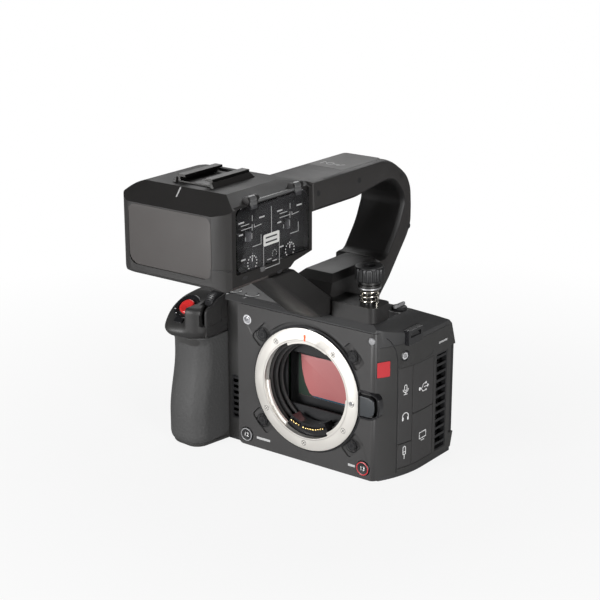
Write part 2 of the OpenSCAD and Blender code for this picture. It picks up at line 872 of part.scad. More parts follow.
lug_out = 0.5;
lug_y = 5.5;
lug_at = [body_right + lug_out, lug_y, body_h - over];
lug_size = [3.4, 13, 8];
module strap_lug() {
    s = lug_size;
    color([0.5, 0.5, 0.5])
    difference() {
        span([lug_at[0] - s[0], lug_at[1] - s[1] / 2, lug_at[2] - s[2]],
            [lug_at[0], lug_at[1] + s[1] / 2, lug_at[2]]);
        span([lug_at[0] - s[0] - over, lug_at[1] - s[1] / 2 + s[0] / 2, lug_at[2] - s[2] * 0.5],
            [lug_at[0] + over, lug_at[1] + s[1] / 2 - s[0] / 2, lug_at[2] - s[2] * 0.2]);
        intersection() {
            linear_extrude(top_z) plan(body_left, plate_back, body_rear);
            envelope();
        }
    }
}

// Round lamp beside the mount and the tally lamp on the curved corner
lamp_down = 8.5;
lamp_at = [-40, body_h - lamp_down];
lamp_r = 2.7;
tally_down = 4.2;
tally_at = [40.6, body_h - tally_down];
tally_r = 1.8;
lamp_t = 1.6;
// A third lamp on the curved side, square to the curve
side_lamp_down = 15.1;
side_lamp = [50.2, -0.3, body_h - side_lamp_down];
side_lamp_r = 3;
module lamp_places(grow) {
    rod_y([lamp_at[0], plate_face - over, lamp_at[1]], lamp_r + grow, over + lamp_t + grow);
    rod_y([tally_at[0], plate_face - over, tally_at[1]], tally_r + grow, over + lamp_t + grow);
    lamp_on_side(side_lamp_r + grow, -lamp_t - grow, over);
}
module lamp_on_side(r, from, to) {
    translate([side_x0, side_y, side_lamp[2]])
        rotate([0, 0, atan2(side_lamp[1] - side_y, side_lamp[0] - side_x0)])
        translate([side_r + from, 0, 0]) rotate([0, 90, 0]) cylinder(r = r, h = to - from);
}
module lamps() {
    color([0.7, 0.7, 0.72]) {
        rod_y([lamp_at[0], plate_face, lamp_at[1]], lamp_r, lamp_t);
        rod_y([tally_at[0], plate_face + lamp_t / 4, tally_at[1]], tally_r, lamp_t * 3 / 4);
        lamp_on_side(side_lamp_r, -lamp_t, -seam);
    }
}

// Buttons on the body

module lens_release() {
    color([0.15, 0.15, 0.155])
    along_y(plate_face - release_out, plate_face - release_out + release_t)
        rounded([release_x[0], release_z[0]], [release_x[1], release_z[1]], release_out / 2);
}
module lock_pin() {
    color([0.8, 0.8, 0.82]) rod_y([lock_x, ring_face - lock_out, axis_z], lock_r, ring_t + wall);
}
module plate_button(i) {
    color([0.2, 0.2, 0.2])
    rod_y([plate_button_x[i], plate_face - button_out, plate_button_z], plate_button_r, button_deep + button_out);
}
module plate_button_left() { plate_button(0); }
module plate_button_right() { plate_button(1); }
module top_button(i) {
    color([0.55, 0.55, 0.56])
    translate([top_button[i][0], top_button[i][1], body_h + cap_out])
        cylinder(r = top_button_r, h = top_t);
}
module top_button_left() { top_button(0); }
module top_button_right() { top_button(1); }
module power_switch() {
    color([0.12, 0.12, 0.125])
    translate([power_at[0], power_at[1], 0]) {
        translate([0, 0, body_h]) cylinder(r = power_stem_r, h = top_t + power_h);
        translate([0, 0, top_z + seam]) cylinder(r = power_r, h = power_h);
        translate([0, 0, top_z + power_h])
            span([-rib_w / 2, -rib_l, 0], [rib_w / 2, rib_l, rib_h]);
    }
}

// Screen

module screen_arm() {
    color([0.13, 0.13, 0.135])
    difference() {
        union() {
            translate([hinge_x, hinge_y, screen_z[0]]) cylinder(r = hinge_r, h = screen_z[1] - screen_z[0]);
            span([screen_x[1], arm_y[0], arm_z[0]], [hinge_x, arm_y[1], arm_z[1]]);
        }
        translate([hinge_x, hinge_y, screen_z[0] - over])
            cylinder(r = hinge_pin_r + pin_clear, h = screen_z[1] - screen_z[0] + 2 * over);
    }
}
module screen() {
    color([0.1, 0.1, 0.11])
    difference() {
        along_y(screen_y[0], screen_y[1])
            rounded([screen_x[0], screen_z[0]], [screen_x[1], screen_z[1]], chamfer);
        span([screen_x[0] + chamfer, screen_y[0] - over, screen_z[0] + chamfer],
            [screen_x[1] - chamfer, screen_y[0] + clear, screen_z[1] - chamfer]);
    }
}

// Grip

// Corner columns of the grip in plan. Inset draws them in; back moves the front to the rear.
module grip_form(z0, z1, inset, back = 0) {
    h = z1 - z0;
    translate([-grip_left + lobe_r, -grip_front + lobe_r + back, z0])
        cylinder(r = lobe_r - inset, h = h, $fn = 40);
    translate([front_at[0], -grip_front + front_at[1] + back, z0])
        cylinder(r = front_r - inset, h = h, $fn = 40);
    translate([-grip_left + neck_r, grip_rear - neck_r, z0])
        cylinder(r = neck_r - inset, h = h, $fn = 40);
    translate([grip_inner[0] - over, grip_inner[1], z0]) cube([over, over, h]);
    translate([grip_inner[0] - over, grip_rear - inset - over, z0]) cube([over, over, h]);
}
module grip_body(z0, inset) {
    s = over / 2;
    hull() {
        grip_form(z0, z0 + s, inset + (z0 < toe_h ? toe_in : 0));
        grip_form(toe_h, waist_z[0], inset);
    }
    hull() {
        grip_form(waist_z[0] - s, waist_z[0], inset);
        grip_form(waist_z[1], waist_z[1] + s, inset, waist_in);
    }
    hull() {
        grip_form(waist_z[1], waist_z[1] + s, inset, waist_in);
        grip_form(grip_h - s, grip_h, inset);
    }
}

module grip_core() {
    color([0.17, 0.17, 0.175])
    difference() {
        union() {
            intersection() {
                grip_body(0, 0);
                span([-grip_left - over, core_split, cell_door_t + seam], [0, grip_rear + over, grip_h + over]);
            }
            intersection() {
                grip_body(0, rubber_t);
                span([-grip_left, -grip_front, cell_door_t + seam], [0, core_split + over, grip_h + over]);
            }
            intersection() {
                grip_body(0, 0);
                span([-grip_left - over, cell_door_y + seam, 0], [0, grip_rear + over, grip_h]);
            }
        }
        span([battery_at[0] - battery_gap, battery_at[1] - battery_gap, 0],
            [battery_at[0] + battery_size[0] + battery_gap, battery_at[1] + battery_size[1] + battery_gap,
            battery_at[2] + battery_size[2] + battery_gap]);
        span([-grip_left - over, card_door_y[0] - seam, card_door_z[0] - seam],
            [-grip_left + card_door_t + seam, card_door_y[1] + seam, card_door_z[1] + seam]);
        rod_y([joystick_at[0], grip_rear - joystick_h, joystick_at[1]], joystick_r + clear * 2, joystick_h + over);
        rod_y([dial_at[0], grip_rear - dial_stem_l - clear, dial_at[1]], dial_stem_r + pin_clear,
            dial_stem_l + over);
    }
}

module grip_rubber() {
    color([0.13, 0.13, 0.13])
    difference() {
        intersection() {
            grip_body(0, 0);
            span([-grip_left - over, -grip_front - over, cell_door_t + seam],
                [0, core_split - seam, grip_h - seam]);
        }
        grip_body(0, rubber_t - pin_clear);
    }
}

// Direction square to the head's slope, with children drawn on the button's axis
module on_slope() {
    translate(rec_at) rotate([head_tilt, 0, 0]) children();
}

module wheel_room() {
    rod_x([wheel_at[0] - wheel_w / 2 - clear, wheel_at[1], wheel_at[2]], wheel_r + clear * 2,
        wheel_w + clear * 2);
}

module grip_head() {
    r = head_round;
    hi = top_z - r;
    rim = grip_h + head_rim;
    color([0.2, 0.2, 0.205])
    difference() {
        intersection() {
            hull() {
                translate([-grip_left + lobe_r, -grip_front + lobe_r, grip_h])
                    cylinder(r = lobe_r, h = head_rim, $fn = 40);
                translate([-grip_left + lobe_r, -grip_front + lobe_r, grip_h + over * 2])
                    cylinder(r = lobe_r + head_over, h = head_rim - over, $fn = 40);
                translate([front_at[0] - head_over, -grip_front + front_at[1], grip_h + over * 2])
                    cylinder(r = front_r + head_over, h = head_rim - over, $fn = 40);
                translate([-grip_left + neck_r, grip_rear - neck_r, grip_h])
                    cylinder(r = neck_r, h = head_rim + over * 3, $fn = 40);
                translate([grip_inner[0] - over, grip_inner[1], grip_h]) cube([over, over, body_h - grip_h]);
                translate([grip_inner[0] - over, grip_rear - over, grip_h]) cube([over, over, top_z - slope_fall / 2 - grip_h]);
                for (p = head_top) translate([p[0], p[1], hi]) sphere(r, $fn = 24);
            }
            on_slope() span([-grip_left, -grip_left, -grip_left], [grip_left, grip_left * 2, 0]);
            span([-grip_left * 2, -grip_left, 0], [-body_left, grip_left, top_z + over]);
        }
        translate([-seam, 0, -seam]) top_room();
        on_slope() translate([0, 0, -ring_deep]) difference() {
            cylinder(r = ring_out_r + clear, h = ring_deep + over * 8);
            cylinder(r = sleeve_r, h = ring_deep);
        }
        on_slope() translate([0, 0, -rec_deep - over - seam]) cylinder(r = rec_r + clear / 2, h = rec_deep * 3);
        wheel_room();
        span([wheel_at[0] - wheel_w / 2 - clear, wheel_at[1] - wheel_r, wheel_at[2]],
            [wheel_at[0] + wheel_w / 2 + clear, wheel_at[1] + clear, top_z + over]);
    }
    color([0.2, 0.2, 0.205])
    rod_x([wheel_at[0] - wheel_w / 2 - over, wheel_at[1], wheel_at[2]], wheel_axle_r, wheel_w + over * 2);
}

module battery() {
    color([0.3, 0.3, 0.32]) span(battery_at, battery_at + battery_size);
}
module battery_door() {
    color([0.15, 0.15, 0.15])
    intersection() {
        grip_body(0, 0);
        union() {
            span([-grip_left, -grip_front, 0], [0, cell_door_y - cell_door_t / 2, cell_door_t]);
            rod_x([-grip_left, cell_door_y - cell_door_t / 2, cell_door_t / 2], cell_door_t / 2, grip_left);
        }
    }
}
module card_door() {
    color([0.18, 0.18, 0.185])
    union() {
        r = card_door_t / 2;
        span([-grip_left, card_door_y[0] + r, card_door_z[0]],
            [-grip_left + card_door_t, card_door_y[1], card_door_z[1]]);
        translate([-grip_left + r, card_door_y[0] + r, card_door_z[0]])
            cylinder(r = r, h = card_door_z[1] - card_door_z[0]);
    }
}
module rec_button() {
    color([0.85, 0.12, 0.1])
    on_slope() translate([0, 0, -rec_deep]) {
        cylinder(r = rec_r, h = rec_deep + rec_out * 0.6);
        translate([0, 0, rec_deep + rec_out * 0.6]) cylinder(r1 = rec_r, r2 = rec_r * 0.8, h = rec_out * 0.4);
    }
}
module zoom_lever() {
    color([0.08, 0.08, 0.085])
    on_slope() difference() {
        union() {
            translate([0, 0, -ring_deep + seam]) cylinder(r = ring_out_r, h = ring_deep + rec_out / 2);
            translate([0, 0, seam]) span([-lever_w / 2, -ring_out_r - lever_l, 0],
                [lever_w / 2, -sleeve_r - over, rec_out / 2 - seam]);
        }
        translate([0, 0, -ring_deep - over])
            cylinder(r = sleeve_r + pin_clear, h = ring_deep * 3);
    }
}
module front_wheel() {
    color([0.1, 0.1, 0.1])
    translate([wheel_at[0] - wheel_w / 2, wheel_at[1], wheel_at[2]]) rotate([0, 90, 0])
        difference() {
            cylinder(r = wheel_r, h = wheel_w);
            translate([0, 0, -over]) cylinder(r = wheel_axle_r + pin_clear, h = wheel_w + 2 * over);
        }
}
module joystick() {
    color([0.1, 0.1, 0.1]) {
        rod_y([joystick_at[0], grip_rear - joystick_h + clear, joystick_at[1]], stick_r, joystick_h);
        rod_y([joystick_at[0], grip_rear + clear, joystick_at[1]], joystick_r, joystick_h / 2);
    }
}
module rear_dial() {
    color([0.1, 0.1, 0.1]) {
        rod_y([dial_at[0], grip_rear - dial_stem_l, dial_at[1]], dial_stem_r, dial_stem_l + dial_t);
        rod_y([dial_at[0], grip_rear + clear, dial_at[1]], dial_r, dial_t);
    }
}

// Handle

// Loop of the handle in (y, z): the bar, the bend and the post, hollow side towards the front
post_y = foot_y[1] + 1;
// Shares of the way back to the handle's rearmost point and of its height over the top cover
outer_shares = [[0.574, 1], [0.7225, 0.9538], [0.8357, 0.8913], [0.9219, 0.8342], [0.9872, 0.7323],
    [1, 0.591], [1, 0.4538], [0.949, 0.3696], [0.8325, 0.2541], [0.6778, 0.0978]];
inner_shares = [[0.7751, 0.4565], [0.8692, 0.6318], [0.8325, 0.7024], [0.7177, 0.8057], [0.5981, 0.8261]];
bar_y = 10.6;
foot_reach = 7.8;
function loop_at(p) = [p[0] * handle_rear, top_z + p[1] * handle_h];
function handle_outer() = concat([[-box_rear, handle_z]], [for (p = outer_shares) loop_at(p)],
    [[post_y, deck(post_y) + seam]]);
function handle_inner() = concat([[foot_y[1], deck(foot_y[1]) + seam], [foot_y[1], foot_z + foot_h],
    [foot_y[1] + foot_reach, foot_z + foot_h]], [for (p = inner_shares) loop_at(p)],
    [[bar_y, handle_z - bar_t], [-box_rear, handle_z - bar_t]]);
module handle_outline(inset) {
    offset(delta = -inset, chamfer = true) polygon(concat(handle_outer(), handle_inner()));
}
bar_screw_y = [-24.5, 11.5];
bar_screw_down = 6.9;
bend_screw_shares = [[0.8246, 0.8383], [0.957, 0.4321]];
handle_screw_at = concat([for (y = bar_screw_y) [y, handle_z - bar_screw_down]],
    [for (p = bend_screw_shares) loop_at(p)]);
// One half: its side at w, its seam with the other half at the middle of the handle
handle_mid = (handle_right - handle_left) / 2;
module handle_half() {
    w = (handle_right + handle_left) / 2;
    difference() {
        union() {
            along_x(0, w - edge_run) handle_outline(0);
            along_x(w - edge_run, w) handle_outline(edge_in / 2);
        }
        along_x(-over, w - edge_run) handle_outline(handle_wall + edge_in / 4);
    }
}
module handle_right_shell() {
    color([0.2, 0.2, 0.2])
    difference() {
        translate([handle_mid, 0, 0]) handle_half();
        for (p = handle_screw_at)
            rod_x([handle_right - casing_screw_t - edge_run / 4, p[0], p[1]], casing_screw_r, over + casing_screw_t);
    }
}
module handle_left_shell() {
    color([0.2, 0.2, 0.2])
    translate([handle_mid, 0, 0]) mirror([1, 0, 0]) handle_half();
}
module handle_neck() {
    w = handle_right;
    y0 = -neck_front;
    y1 = -neck_back;
    f = neck_foot;
    d = neck_lift;
    color([0.21, 0.21, 0.215])
    hull() {
        along_x(-w + neck_bevel, w - neck_bevel)
            polygon([[y0, box_z0], [y1, box_z0], [f[1], foot_z + d], [f[1], foot_z], [f[0], foot_z]]);
        along_x(-w, w)
            polygon([[y0 + d, box_z0], [y1, box_z0], [f[1], foot_z + d], [f[1], foot_z], [f[0] + d, foot_z]]);
    }
}

module handle_foot() {
    w = handle_right;
    e = foot_edge;
    t = foot_z + foot_h;
    n = neck_foot[1] + seam;
    slope = (neck_back + neck_foot[1]) / (box_z0 - foot_z - neck_lift);
    y_neck = n - slope * (foot_h / 2 - neck_lift);
    color([0.15, 0.15, 0.155])
    difference() {
        union() {
            intersection() {
                along_x(-w, w) polygon([[n, foot_z], [slope_y, foot_z],
                    [foot_y[1] - seam, deck(foot_y[1]) + seam], [foot_y[1] - seam, t],
                    [foot_y[0] + e * 2, t], [foot_y[0] + e / 2, t - e], [y_neck, foot_z + foot_h / 2],
                    [n, foot_z + neck_lift]]);
                along_y(foot_y[0] - over, foot_y[1]) polygon([[-w, lid_z], [w, lid_z], [w, t - e],
                    [w - e, t], [e - w, t], [-w, t - e]]);
            }
            translate([0, 0, foot_z]) linear_extrude(block_h) union() {
                rounded([w, block_y[0]], [block_x[1], block_y[1]], block_r);
                translate([w - over, n]) square([block_r * 2, block_y[1] - n]);
            }
        }
        translate([screw_at[0], screw_at[1], foot_z - over])
            cylinder(r = screw_r + pin_clear, h = block_h + 2 * over);
        span([-shoe_w / 2 - clear, shoe_y[0] - clear, foot_z - over],
            [shoe_w / 2 + clear, shoe_y[1] + clear, top_z + shoe_h + clear]);
    }
    color([0.15, 0.15, 0.155]) {
        span([-shoe_slot / 2 + clear, shoe_y[0], top_z + shoe_floor + seam],
            [shoe_slot / 2 - clear, shoe_y[1], top_z + shoe_floor + tongue_t]);
        span([-shoe_mouth / 2 + clear, shoe_y[0], top_z + shoe_floor + seam],
            [shoe_mouth / 2 - clear, shoe_y[1], top_z + shoe_h + over]);
    }
}

// Thumbscrew

spring_z = foot_z + block_h + clear / 5;
washer_z = spring_z + spring_l;
module thumbscrew() {
    z = washer_z + washer_t;
    color([0.1, 0.1, 0.1])
    translate([screw_at[0], screw_at[1], 0]) {
        translate([0, 0, z]) cylinder(r = collar_r, h = collar_h);
        translate([0, 0, z + collar_h]) cylinder(r = knob_r, h = knob_h);
        translate([0, 0, foot_z]) cylinder(r = screw_r, h = z - foot_z);
        translate([0, 0, body_h]) cylinder(r = thread_r, h = foot_z - body_h);
    }
}
module screw_washer() {
    color([0.6, 0.6, 0.6])
    translate([screw_at[0], screw_at[1], washer_z]) difference() {
        cylinder(r = collar_r, h = washer_t);
        translate([0, 0, -over]) cylinder(r = screw_r + pin_clear, h = washer_t + 2 * over);
    }
}

// Spring: one tube along a helix, its ends straight and square to the block and the washer
lead = 2 * wire_r;
turn_steps = coils * ring_steps;
rise = spring_l - 2 * lead;
function helix(i) = let (a = 360 * i / ring_steps)
    [spring_r * cos(a), spring_r * sin(a), lead + rise * i / turn_steps];
spring_path = concat([[spring_r, 0, 0]], [for (i = [0 : turn_steps]) helix(i)],
    [helix(turn_steps) + [0, 0, lead]]);
function frame_out(i) = let (k = max(0, min(turn_steps, i - 1)), a = 360 * k / ring_steps)
    [cos(a), sin(a), 0];
function frame_up(i) = let (n = len(spring_path) - 1, k = max(0, min(turn_steps, i - 1)),
    a = 360 * k / ring_steps, end = i == 0 || i == n, near = i == 1 || i == n - 1)
    end ? [sin(a), -cos(a), 0] : near ? [sin(a), -cos(a), 1] / sqrt(2) : [0, 0, 1];
spring_points = [for (i = [0 : len(spring_path) - 1], s = [0 : wire_sides - 1])
    spring_path[i] + wire_r * (cos(360 * s / wire_sides) * frame_out(i)
    + sin(360 * s / wire_sides) * frame_up(i))];
module tube(points, rings, sides) {
    side = [for (i = [0 : rings - 2], s = [0 : sides - 1]) let (a = i * sides + s,
        b = i * sides + (s + 1) % sides) each [[a, b, b + sides], [a, b + sides, a + sides]]];
    ends = concat([for (s = [1 : sides - 2]) [0, s + 1, s]],
        [for (s = [1 : sides - 2]) let (o = (rings - 1) * sides) [o, o + s, o + s + 1]]);
    polyhedron(points = points, faces = concat(side, ends));
}
// Least gap between turns, on the ring centres at least half a turn apart
function gap_to(i, j) = norm(spring_path[i] - spring_path[j]) - 2 * wire_r;
spring_gap = min([for (i = [1 : turn_steps + 1], j = [1 : turn_steps + 1])
    if (j - i >= ring_steps / 2) gap_to(i, j)]);
echo(spring_gap = spring_gap);
module thumbscrew_spring() {
    color([0.75, 0.75, 0.72])
    translate([screw_at[0], screw_at[1], spring_z])
        tube(spring_points, len(spring_path), wire_sides);
}

// Audio unit

// Three crossed outlines give the unit its slopes and corners; inset draws the hollow
module box_form(i) {
    l = -box_left + i;
    r = box_right - i;
    f = -box_front + i;
    b = -box_rear - i;
    z0 = box_z0 + i;
    z1 = box_z1 - i;
    c = box_corner - i;
    intersection() {
        along_y(f, b) intersection() {
            rounded([l, z0], [r + c * 2, z1], c);
            polygon([[l, z0], [r - base_t, z0], [r, z0 + base_t], [r, box_side_z - i], [r - box_top_run, z1],
                [l, z1]]);
        }
        along_x(l, r) polygon([[f, z0 + base_t], [f + base_t, z0], [-under_y[0], z0],
            [-under_y[1], z0 + under_rise[0]], [b, z0 + under_rise[1]], [b, handle_z - i], [-box_back_y, z1],
            [f + crest, z1], [f, box_front_z - i]]);
        translate([0, 0, z0]) linear_extrude(z1 - z0) intersection() {
            rounded([l, f], [r + c * 2, b], c);
            polygon([[l, f], [r - front_run, f], [r - front_fall * 0.6, f + front_fall * 0.6],
                [r, f + front_fall], [r, b], [l, b]]);
        }
    }
}
module audio_box() {
    x_floor = box_right - panel_deep;
    k = knuckle_at;
    color([0.19, 0.19, 0.195])
    difference() {
        union() {
            difference() {
                box_form(0);
                box_form(box_wall);
            }
            // Pocket wall behind the controls
            intersection() {
                box_form(box_wall / 2);
                span([x_floor - panel_t - box_wall, panel_y[0] - box_wall, panel_z[0] - box_wall],
                    [box_right, panel_y[1] + box_wall, box_z1]);
            }
        }
        span([x_floor - panel_t, panel_y[0], panel_z[0]], [box_right + over, panel_y[1], panel_z[1]]);
        span([box_right - cover_t - cover_gap, panel_y[0], panel_z[1] - over],
            [box_right + over, panel_y[1], box_z1]);
        for (y = knuckle_y)
            span([k[0] - knuckle_r - cover_gap, y - knuckle_l / 2 - clear, k[1] - knuckle_r - cover_gap * 2],
                [box_right + over, y + knuckle_l / 2 + clear, box_z1]);
        along_y(-box_front - over, -box_front + fascia_t)
            rounded([fascia_x[0], fascia_z[0]], [fascia_x[1], fascia_z[1]], fascia_r);
        for (y = xlr_y) rod_x([-box_left - over, y, xlr_z], xlr_r, box_wall + 2 * over);
    }
    // Ears with the pins of the clear cover
    color([0.19, 0.19, 0.195])
    for (y = knuckle_y) {
        for (s = [-1, 1]) translate([k[0], y + s * (knuckle_l / 2 + clear + ear_t / 2) - ear_t / 2, k[1]]) {
            rotate([-90, 0, 0]) cylinder(r = knuckle_r, h = ear_t);
            span([-knuckle_r * 2, 0, -knuckle_r * 1.8], [0, ear_t, 0]);
        }
        rod_y([k[0], y - knuckle_l / 2 - clear - over / 2, k[1]], knuckle_pin_r, knuckle_l + 2 * clear + over);
    }
}
module audio_fascia() {
    color([0.37, 0.36, 0.34])
    along_y(-box_front, -box_front + fascia_t)
        rounded([fascia_x[0] + seam, fascia_z[0] + seam], [fascia_x[1] - seam, fascia_z[1] - seam],
            fascia_r - seam);
}
module audio_panel() {
    x = box_right - panel_deep;
    color([0.12, 0.12, 0.125])
    difference() {
        span([x - panel_t, panel_y[0], panel_z[0]], [x, panel_y[1], panel_z[1]]);
        for (y = switch_y) rod_x([x - panel_t - over, y, level_z], level_stem_r + pin_clear, panel_t + 2 * over);
        for (y = switch_y)
            span([x - panel_t - over, y - switch_size[0] / 2 + seam, switch_z - switch_size[1] / 2],
                [x + over, y + switch_size[0] / 2 - seam, switch_z + switch_size[1] / 2 + switch_travel]);
    }
}
module audio_cover() {
    x0 = box_right - cover_t;
    color([0.5, 0.5, 0.52, 0.5])
    difference() {
        union() {
            span([x0, panel_y[0] + cover_gap, panel_z[0] + cover_gap],
                [box_right, panel_y[1] - cover_gap, knuckle_at[1] - knuckle_r - cover_gap]);
            for (y = knuckle_y) {
                rod_y([knuckle_at[0], y - knuckle_l / 2, knuckle_at[1]], knuckle_r, knuckle_l);
                span([x0, y - knuckle_l / 2, panel_z[1]],
                    [knuckle_at[0] + knuckle_r, y + knuckle_l / 2, knuckle_at[1]]);
            }
        }
        for (y = knuckle_y)
            rod_y([knuckle_at[0], y - knuckle_l, knuckle_at[1]], knuckle_pin_r + pin_clear, knuckle_l * 2);
    }
}
module level_knob(i) {
    x = box_right - panel_deep;
    color([0.08, 0.08, 0.08]) {
        rod_x([x - panel_t, switch_y[i], level_z], level_stem_r, panel_t + over);
        rod_x([x + seam, switch_y[i], level_z], level_r, level_h);
    }
}
module level_knob_front() { level_knob(0); }
module level_knob_rear() { level_knob(1); }
module input_switch(i) {
    x = box_right - panel_deep;
    w = switch_size[0] / 2;
    h = switch_size[1] / 2;
    color([0.3, 0.3, 0.3])
    span([x - panel_t, switch_y[i] - w + seam * 2, switch_z - h + seam],
        [x + switch_h, switch_y[i] + w - seam * 2, switch_z + h]);
}
module input_switch_front() { input_switch(0); }
module input_switch_rear() { input_switch(1); }
shoe_mid = [(plinth[0][0] + plinth[1][0]) / 2, (plinth[0][1] + plinth[1][1]) / 2];
module shoe_plinth() {
    a = plinth[0];
    b = plinth[1];
    color([0.12, 0.12, 0.125])
    difference() {
        intersection() {
            along_y(a[1], b[1]) polygon([[a[0], box_z1], [b[0], box_z1], [b[0] - plinth_in, box_z1 + plinth_h],
                [a[0] + plinth_in, box_z1 + plinth_h]]);
            along_x(a[0], b[0]) polygon([[a[1], box_z1], [b[1], box_z1], [b[1] - plinth_in, box_z1 + plinth_h],
                [a[1] + plinth_in / 4, box_z1 + plinth_h]]);
        }
        span([shoe_mid[0] - shoe_out[0] / 2, a[1] - over, box_z1 - over],
            [shoe_mid[0] + shoe_out[0] / 2, shoe_mid[1] + shoe_out[1] / 2, box_z1 + plinth_h + over]);
    }
}
module cold_shoe() {
    w = shoe_out[0] / 2 - seam;
    z = box_z1;
    color([0.8, 0.8, 0.82])
    translate([shoe_mid[0], shoe_mid[1], 0]) along_y(-shoe_out[1] / 2, shoe_out[1] / 2 - seam) difference() {
        translate([-w, z]) square([w * 2, rail_h]);
        translate([-shoe_slot / 2, z + rail_t]) square([shoe_slot, rail_h - rail_t - rail_top]);
        translate([-shoe_slot / 2 + rail_lip, z + rail_t]) square([shoe_slot - 2 * rail_lip, rail_h]);
    }
}
module xlr_sockets() {
    color([0.14, 0.14, 0.15])
    for (y = xlr_y) {
        difference() {
            rod_x([-box_left, y, xlr_z], xlr_r - pin_clear, xlr_deep);
            rod_x([-box_left - over, y, xlr_z], xlr_bore_r, xlr_deep);
        }
        for (a = [0, 90, 180])
            rod_x([-box_left + box_wall, y + xlr_pcd_r * cos(a), xlr_z + xlr_pcd_r * sin(a)],
                xlr_pin_r * 1.6, xlr_deep - box_wall - over / 2);
    }
}

body_shell();
front_plate();
top_cover();
base_plate();
rear_cover();
body_shoe();
mount_ring();
mount_barrel();
contact_block();
sensor();
circuit_boards();
fan_housing();
fan_rotor();
port_sockets();
vent_grilles();
casing_screws();
strap_lug();
lamps();
lens_release();
lock_pin();
plate_button_left();
plate_button_right();
audio_port_cover();
remote_port_cover();
data_port_cover();
video_port_cover();
top_button_left();
top_button_right();
power_switch();
screen_arm();
screen();
grip_core();
grip_rubber();
grip_head();
battery();
battery_door();
card_door();
rec_button();
zoom_lever();
front_wheel();
joystick();
rear_dial();
handle_foot();
handle_neck();
handle_left_shell();
handle_right_shell();
thumbscrew();
screw_washer();
thumbscrew_spring();
audio_box();
audio_fascia();
audio_panel();
audio_cover();
level_knob_front();
level_knob_rear();
input_switch_front();
input_switch_rear();
shoe_plinth();
cold_shoe();
xlr_sockets();
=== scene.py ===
"""Looks of a compact digital cinema camera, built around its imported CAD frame."""
import json
import math

import bpy
import numpy as np
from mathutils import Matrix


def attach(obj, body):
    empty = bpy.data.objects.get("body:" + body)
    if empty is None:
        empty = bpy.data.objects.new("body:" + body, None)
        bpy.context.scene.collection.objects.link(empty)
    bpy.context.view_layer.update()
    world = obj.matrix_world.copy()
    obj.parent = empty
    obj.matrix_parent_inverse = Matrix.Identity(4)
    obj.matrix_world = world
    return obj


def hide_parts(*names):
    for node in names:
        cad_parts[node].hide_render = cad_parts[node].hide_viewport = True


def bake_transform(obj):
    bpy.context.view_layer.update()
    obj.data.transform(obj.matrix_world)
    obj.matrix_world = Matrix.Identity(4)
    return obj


bl_info = {
    "name": "Cinema camera with audio handle",
    "version": (1, 0, 0),
    "blender": (4, 5, 0),
    "location": "View3D > Sidebar > Cinema camera",
    "description": "Builds the camera's surfaces, markings and studio around its CAD frame",
    "category": "Object",
}

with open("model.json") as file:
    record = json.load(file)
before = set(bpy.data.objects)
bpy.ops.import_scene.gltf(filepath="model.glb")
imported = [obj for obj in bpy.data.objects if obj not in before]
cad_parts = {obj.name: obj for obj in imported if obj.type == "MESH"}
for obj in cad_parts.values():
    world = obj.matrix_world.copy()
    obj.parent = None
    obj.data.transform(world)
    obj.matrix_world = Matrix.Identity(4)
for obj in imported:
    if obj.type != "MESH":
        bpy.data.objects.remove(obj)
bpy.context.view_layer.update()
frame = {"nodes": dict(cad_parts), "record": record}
NODES = frame["nodes"]
MM = 0.001
AXIS_Z = 42.5     # height of the lens axis
RING_Y = -20.0    # face of the lens mount ring
PLATE_Y = -18.0   # face of the front plate
LID_Z = 85.5      # top of the casing
CASE_X = 12.0     # right side of the handle and the audio unit


# ---------------------------------------------------------------- settings

class CameraLooks(bpy.types.PropertyGroup):
    """Colours of the camera's finishes"""
    charcoal: bpy.props.FloatVectorProperty(
        name="Casing", description="Colour of the casing paint", subtype="COLOR", default=(0.031, 0.0305, 0.030),
        min=0.0, max=1.0)
    red: bpy.props.FloatVectorProperty(
        name="Record red", description="Colour of the record button", subtype="COLOR", default=(0.50, 0.022, 0.022),
        min=0.0, max=1.0)
    fascia: bpy.props.FloatVectorProperty(
        name="Fascia", description="Colour of the audio unit's front", subtype="COLOR", default=(0.040, 0.0365, 0.035),
        min=0.0, max=1.0)


class StudioLooks(bpy.types.PropertyGroup):
    """Light and camera of the studio"""
    world: bpy.props.FloatProperty(
        name="Surround", description="Brightness of the surround on the dark side", default=0.05, min=0.0, max=2.0)
    key: bpy.props.FloatProperty(
        name="Key light", description="Power of the large lamp, in watts", default=24.0, min=0.0, unit="POWER")
    focal: bpy.props.FloatProperty(
        name="Focal length", description="Lens of the camera", default=92.25, subtype="DISTANCE_CAMERA")


def looks():
    return bpy.context.scene.camera_looks


def studio():
    return bpy.context.scene.studio_looks


# ---------------------------------------------------------------- mesh tools (all sizes in millimetres)

def put(name, verts, faces, smooth=40):
    """A mesh object from points in millimetres, smooth where faces meet at less than the given angle."""
    mesh = bpy.data.meshes.new(name)
    mesh.from_pydata((np.asarray(verts, float) * MM).tolist(), [], faces)
    ob = bpy.data.objects.new(name, mesh)
    bpy.context.scene.collection.objects.link(ob)
    shade(ob, smooth)
    return ob


def shade(ob, smooth=40):
    """Smooth shading, with edges sharper than the angle kept hard."""
    mesh = ob.data
    mesh.polygons.foreach_set("use_smooth", [True] * len(mesh.polygons))
    mesh.set_sharp_from_angle(angle=math.radians(smooth))


def quads(rows, cols, wrap_rows=False, wrap_cols=False):
    """Faces of a grid of points, row after row; a wrapped side joins the last line to the first."""
    i, j = np.meshgrid(np.arange(rows - (not wrap_rows)), np.arange(cols - (not wrap_cols)), indexing="ij")
    i, j = i.ravel(), j.ravel()
    i1, j1 = (i + 1) % rows, (j + 1) % cols
    return np.stack([i * cols + j, i * cols + j1, i1 * cols + j1, i1 * cols + j], 1).tolist()


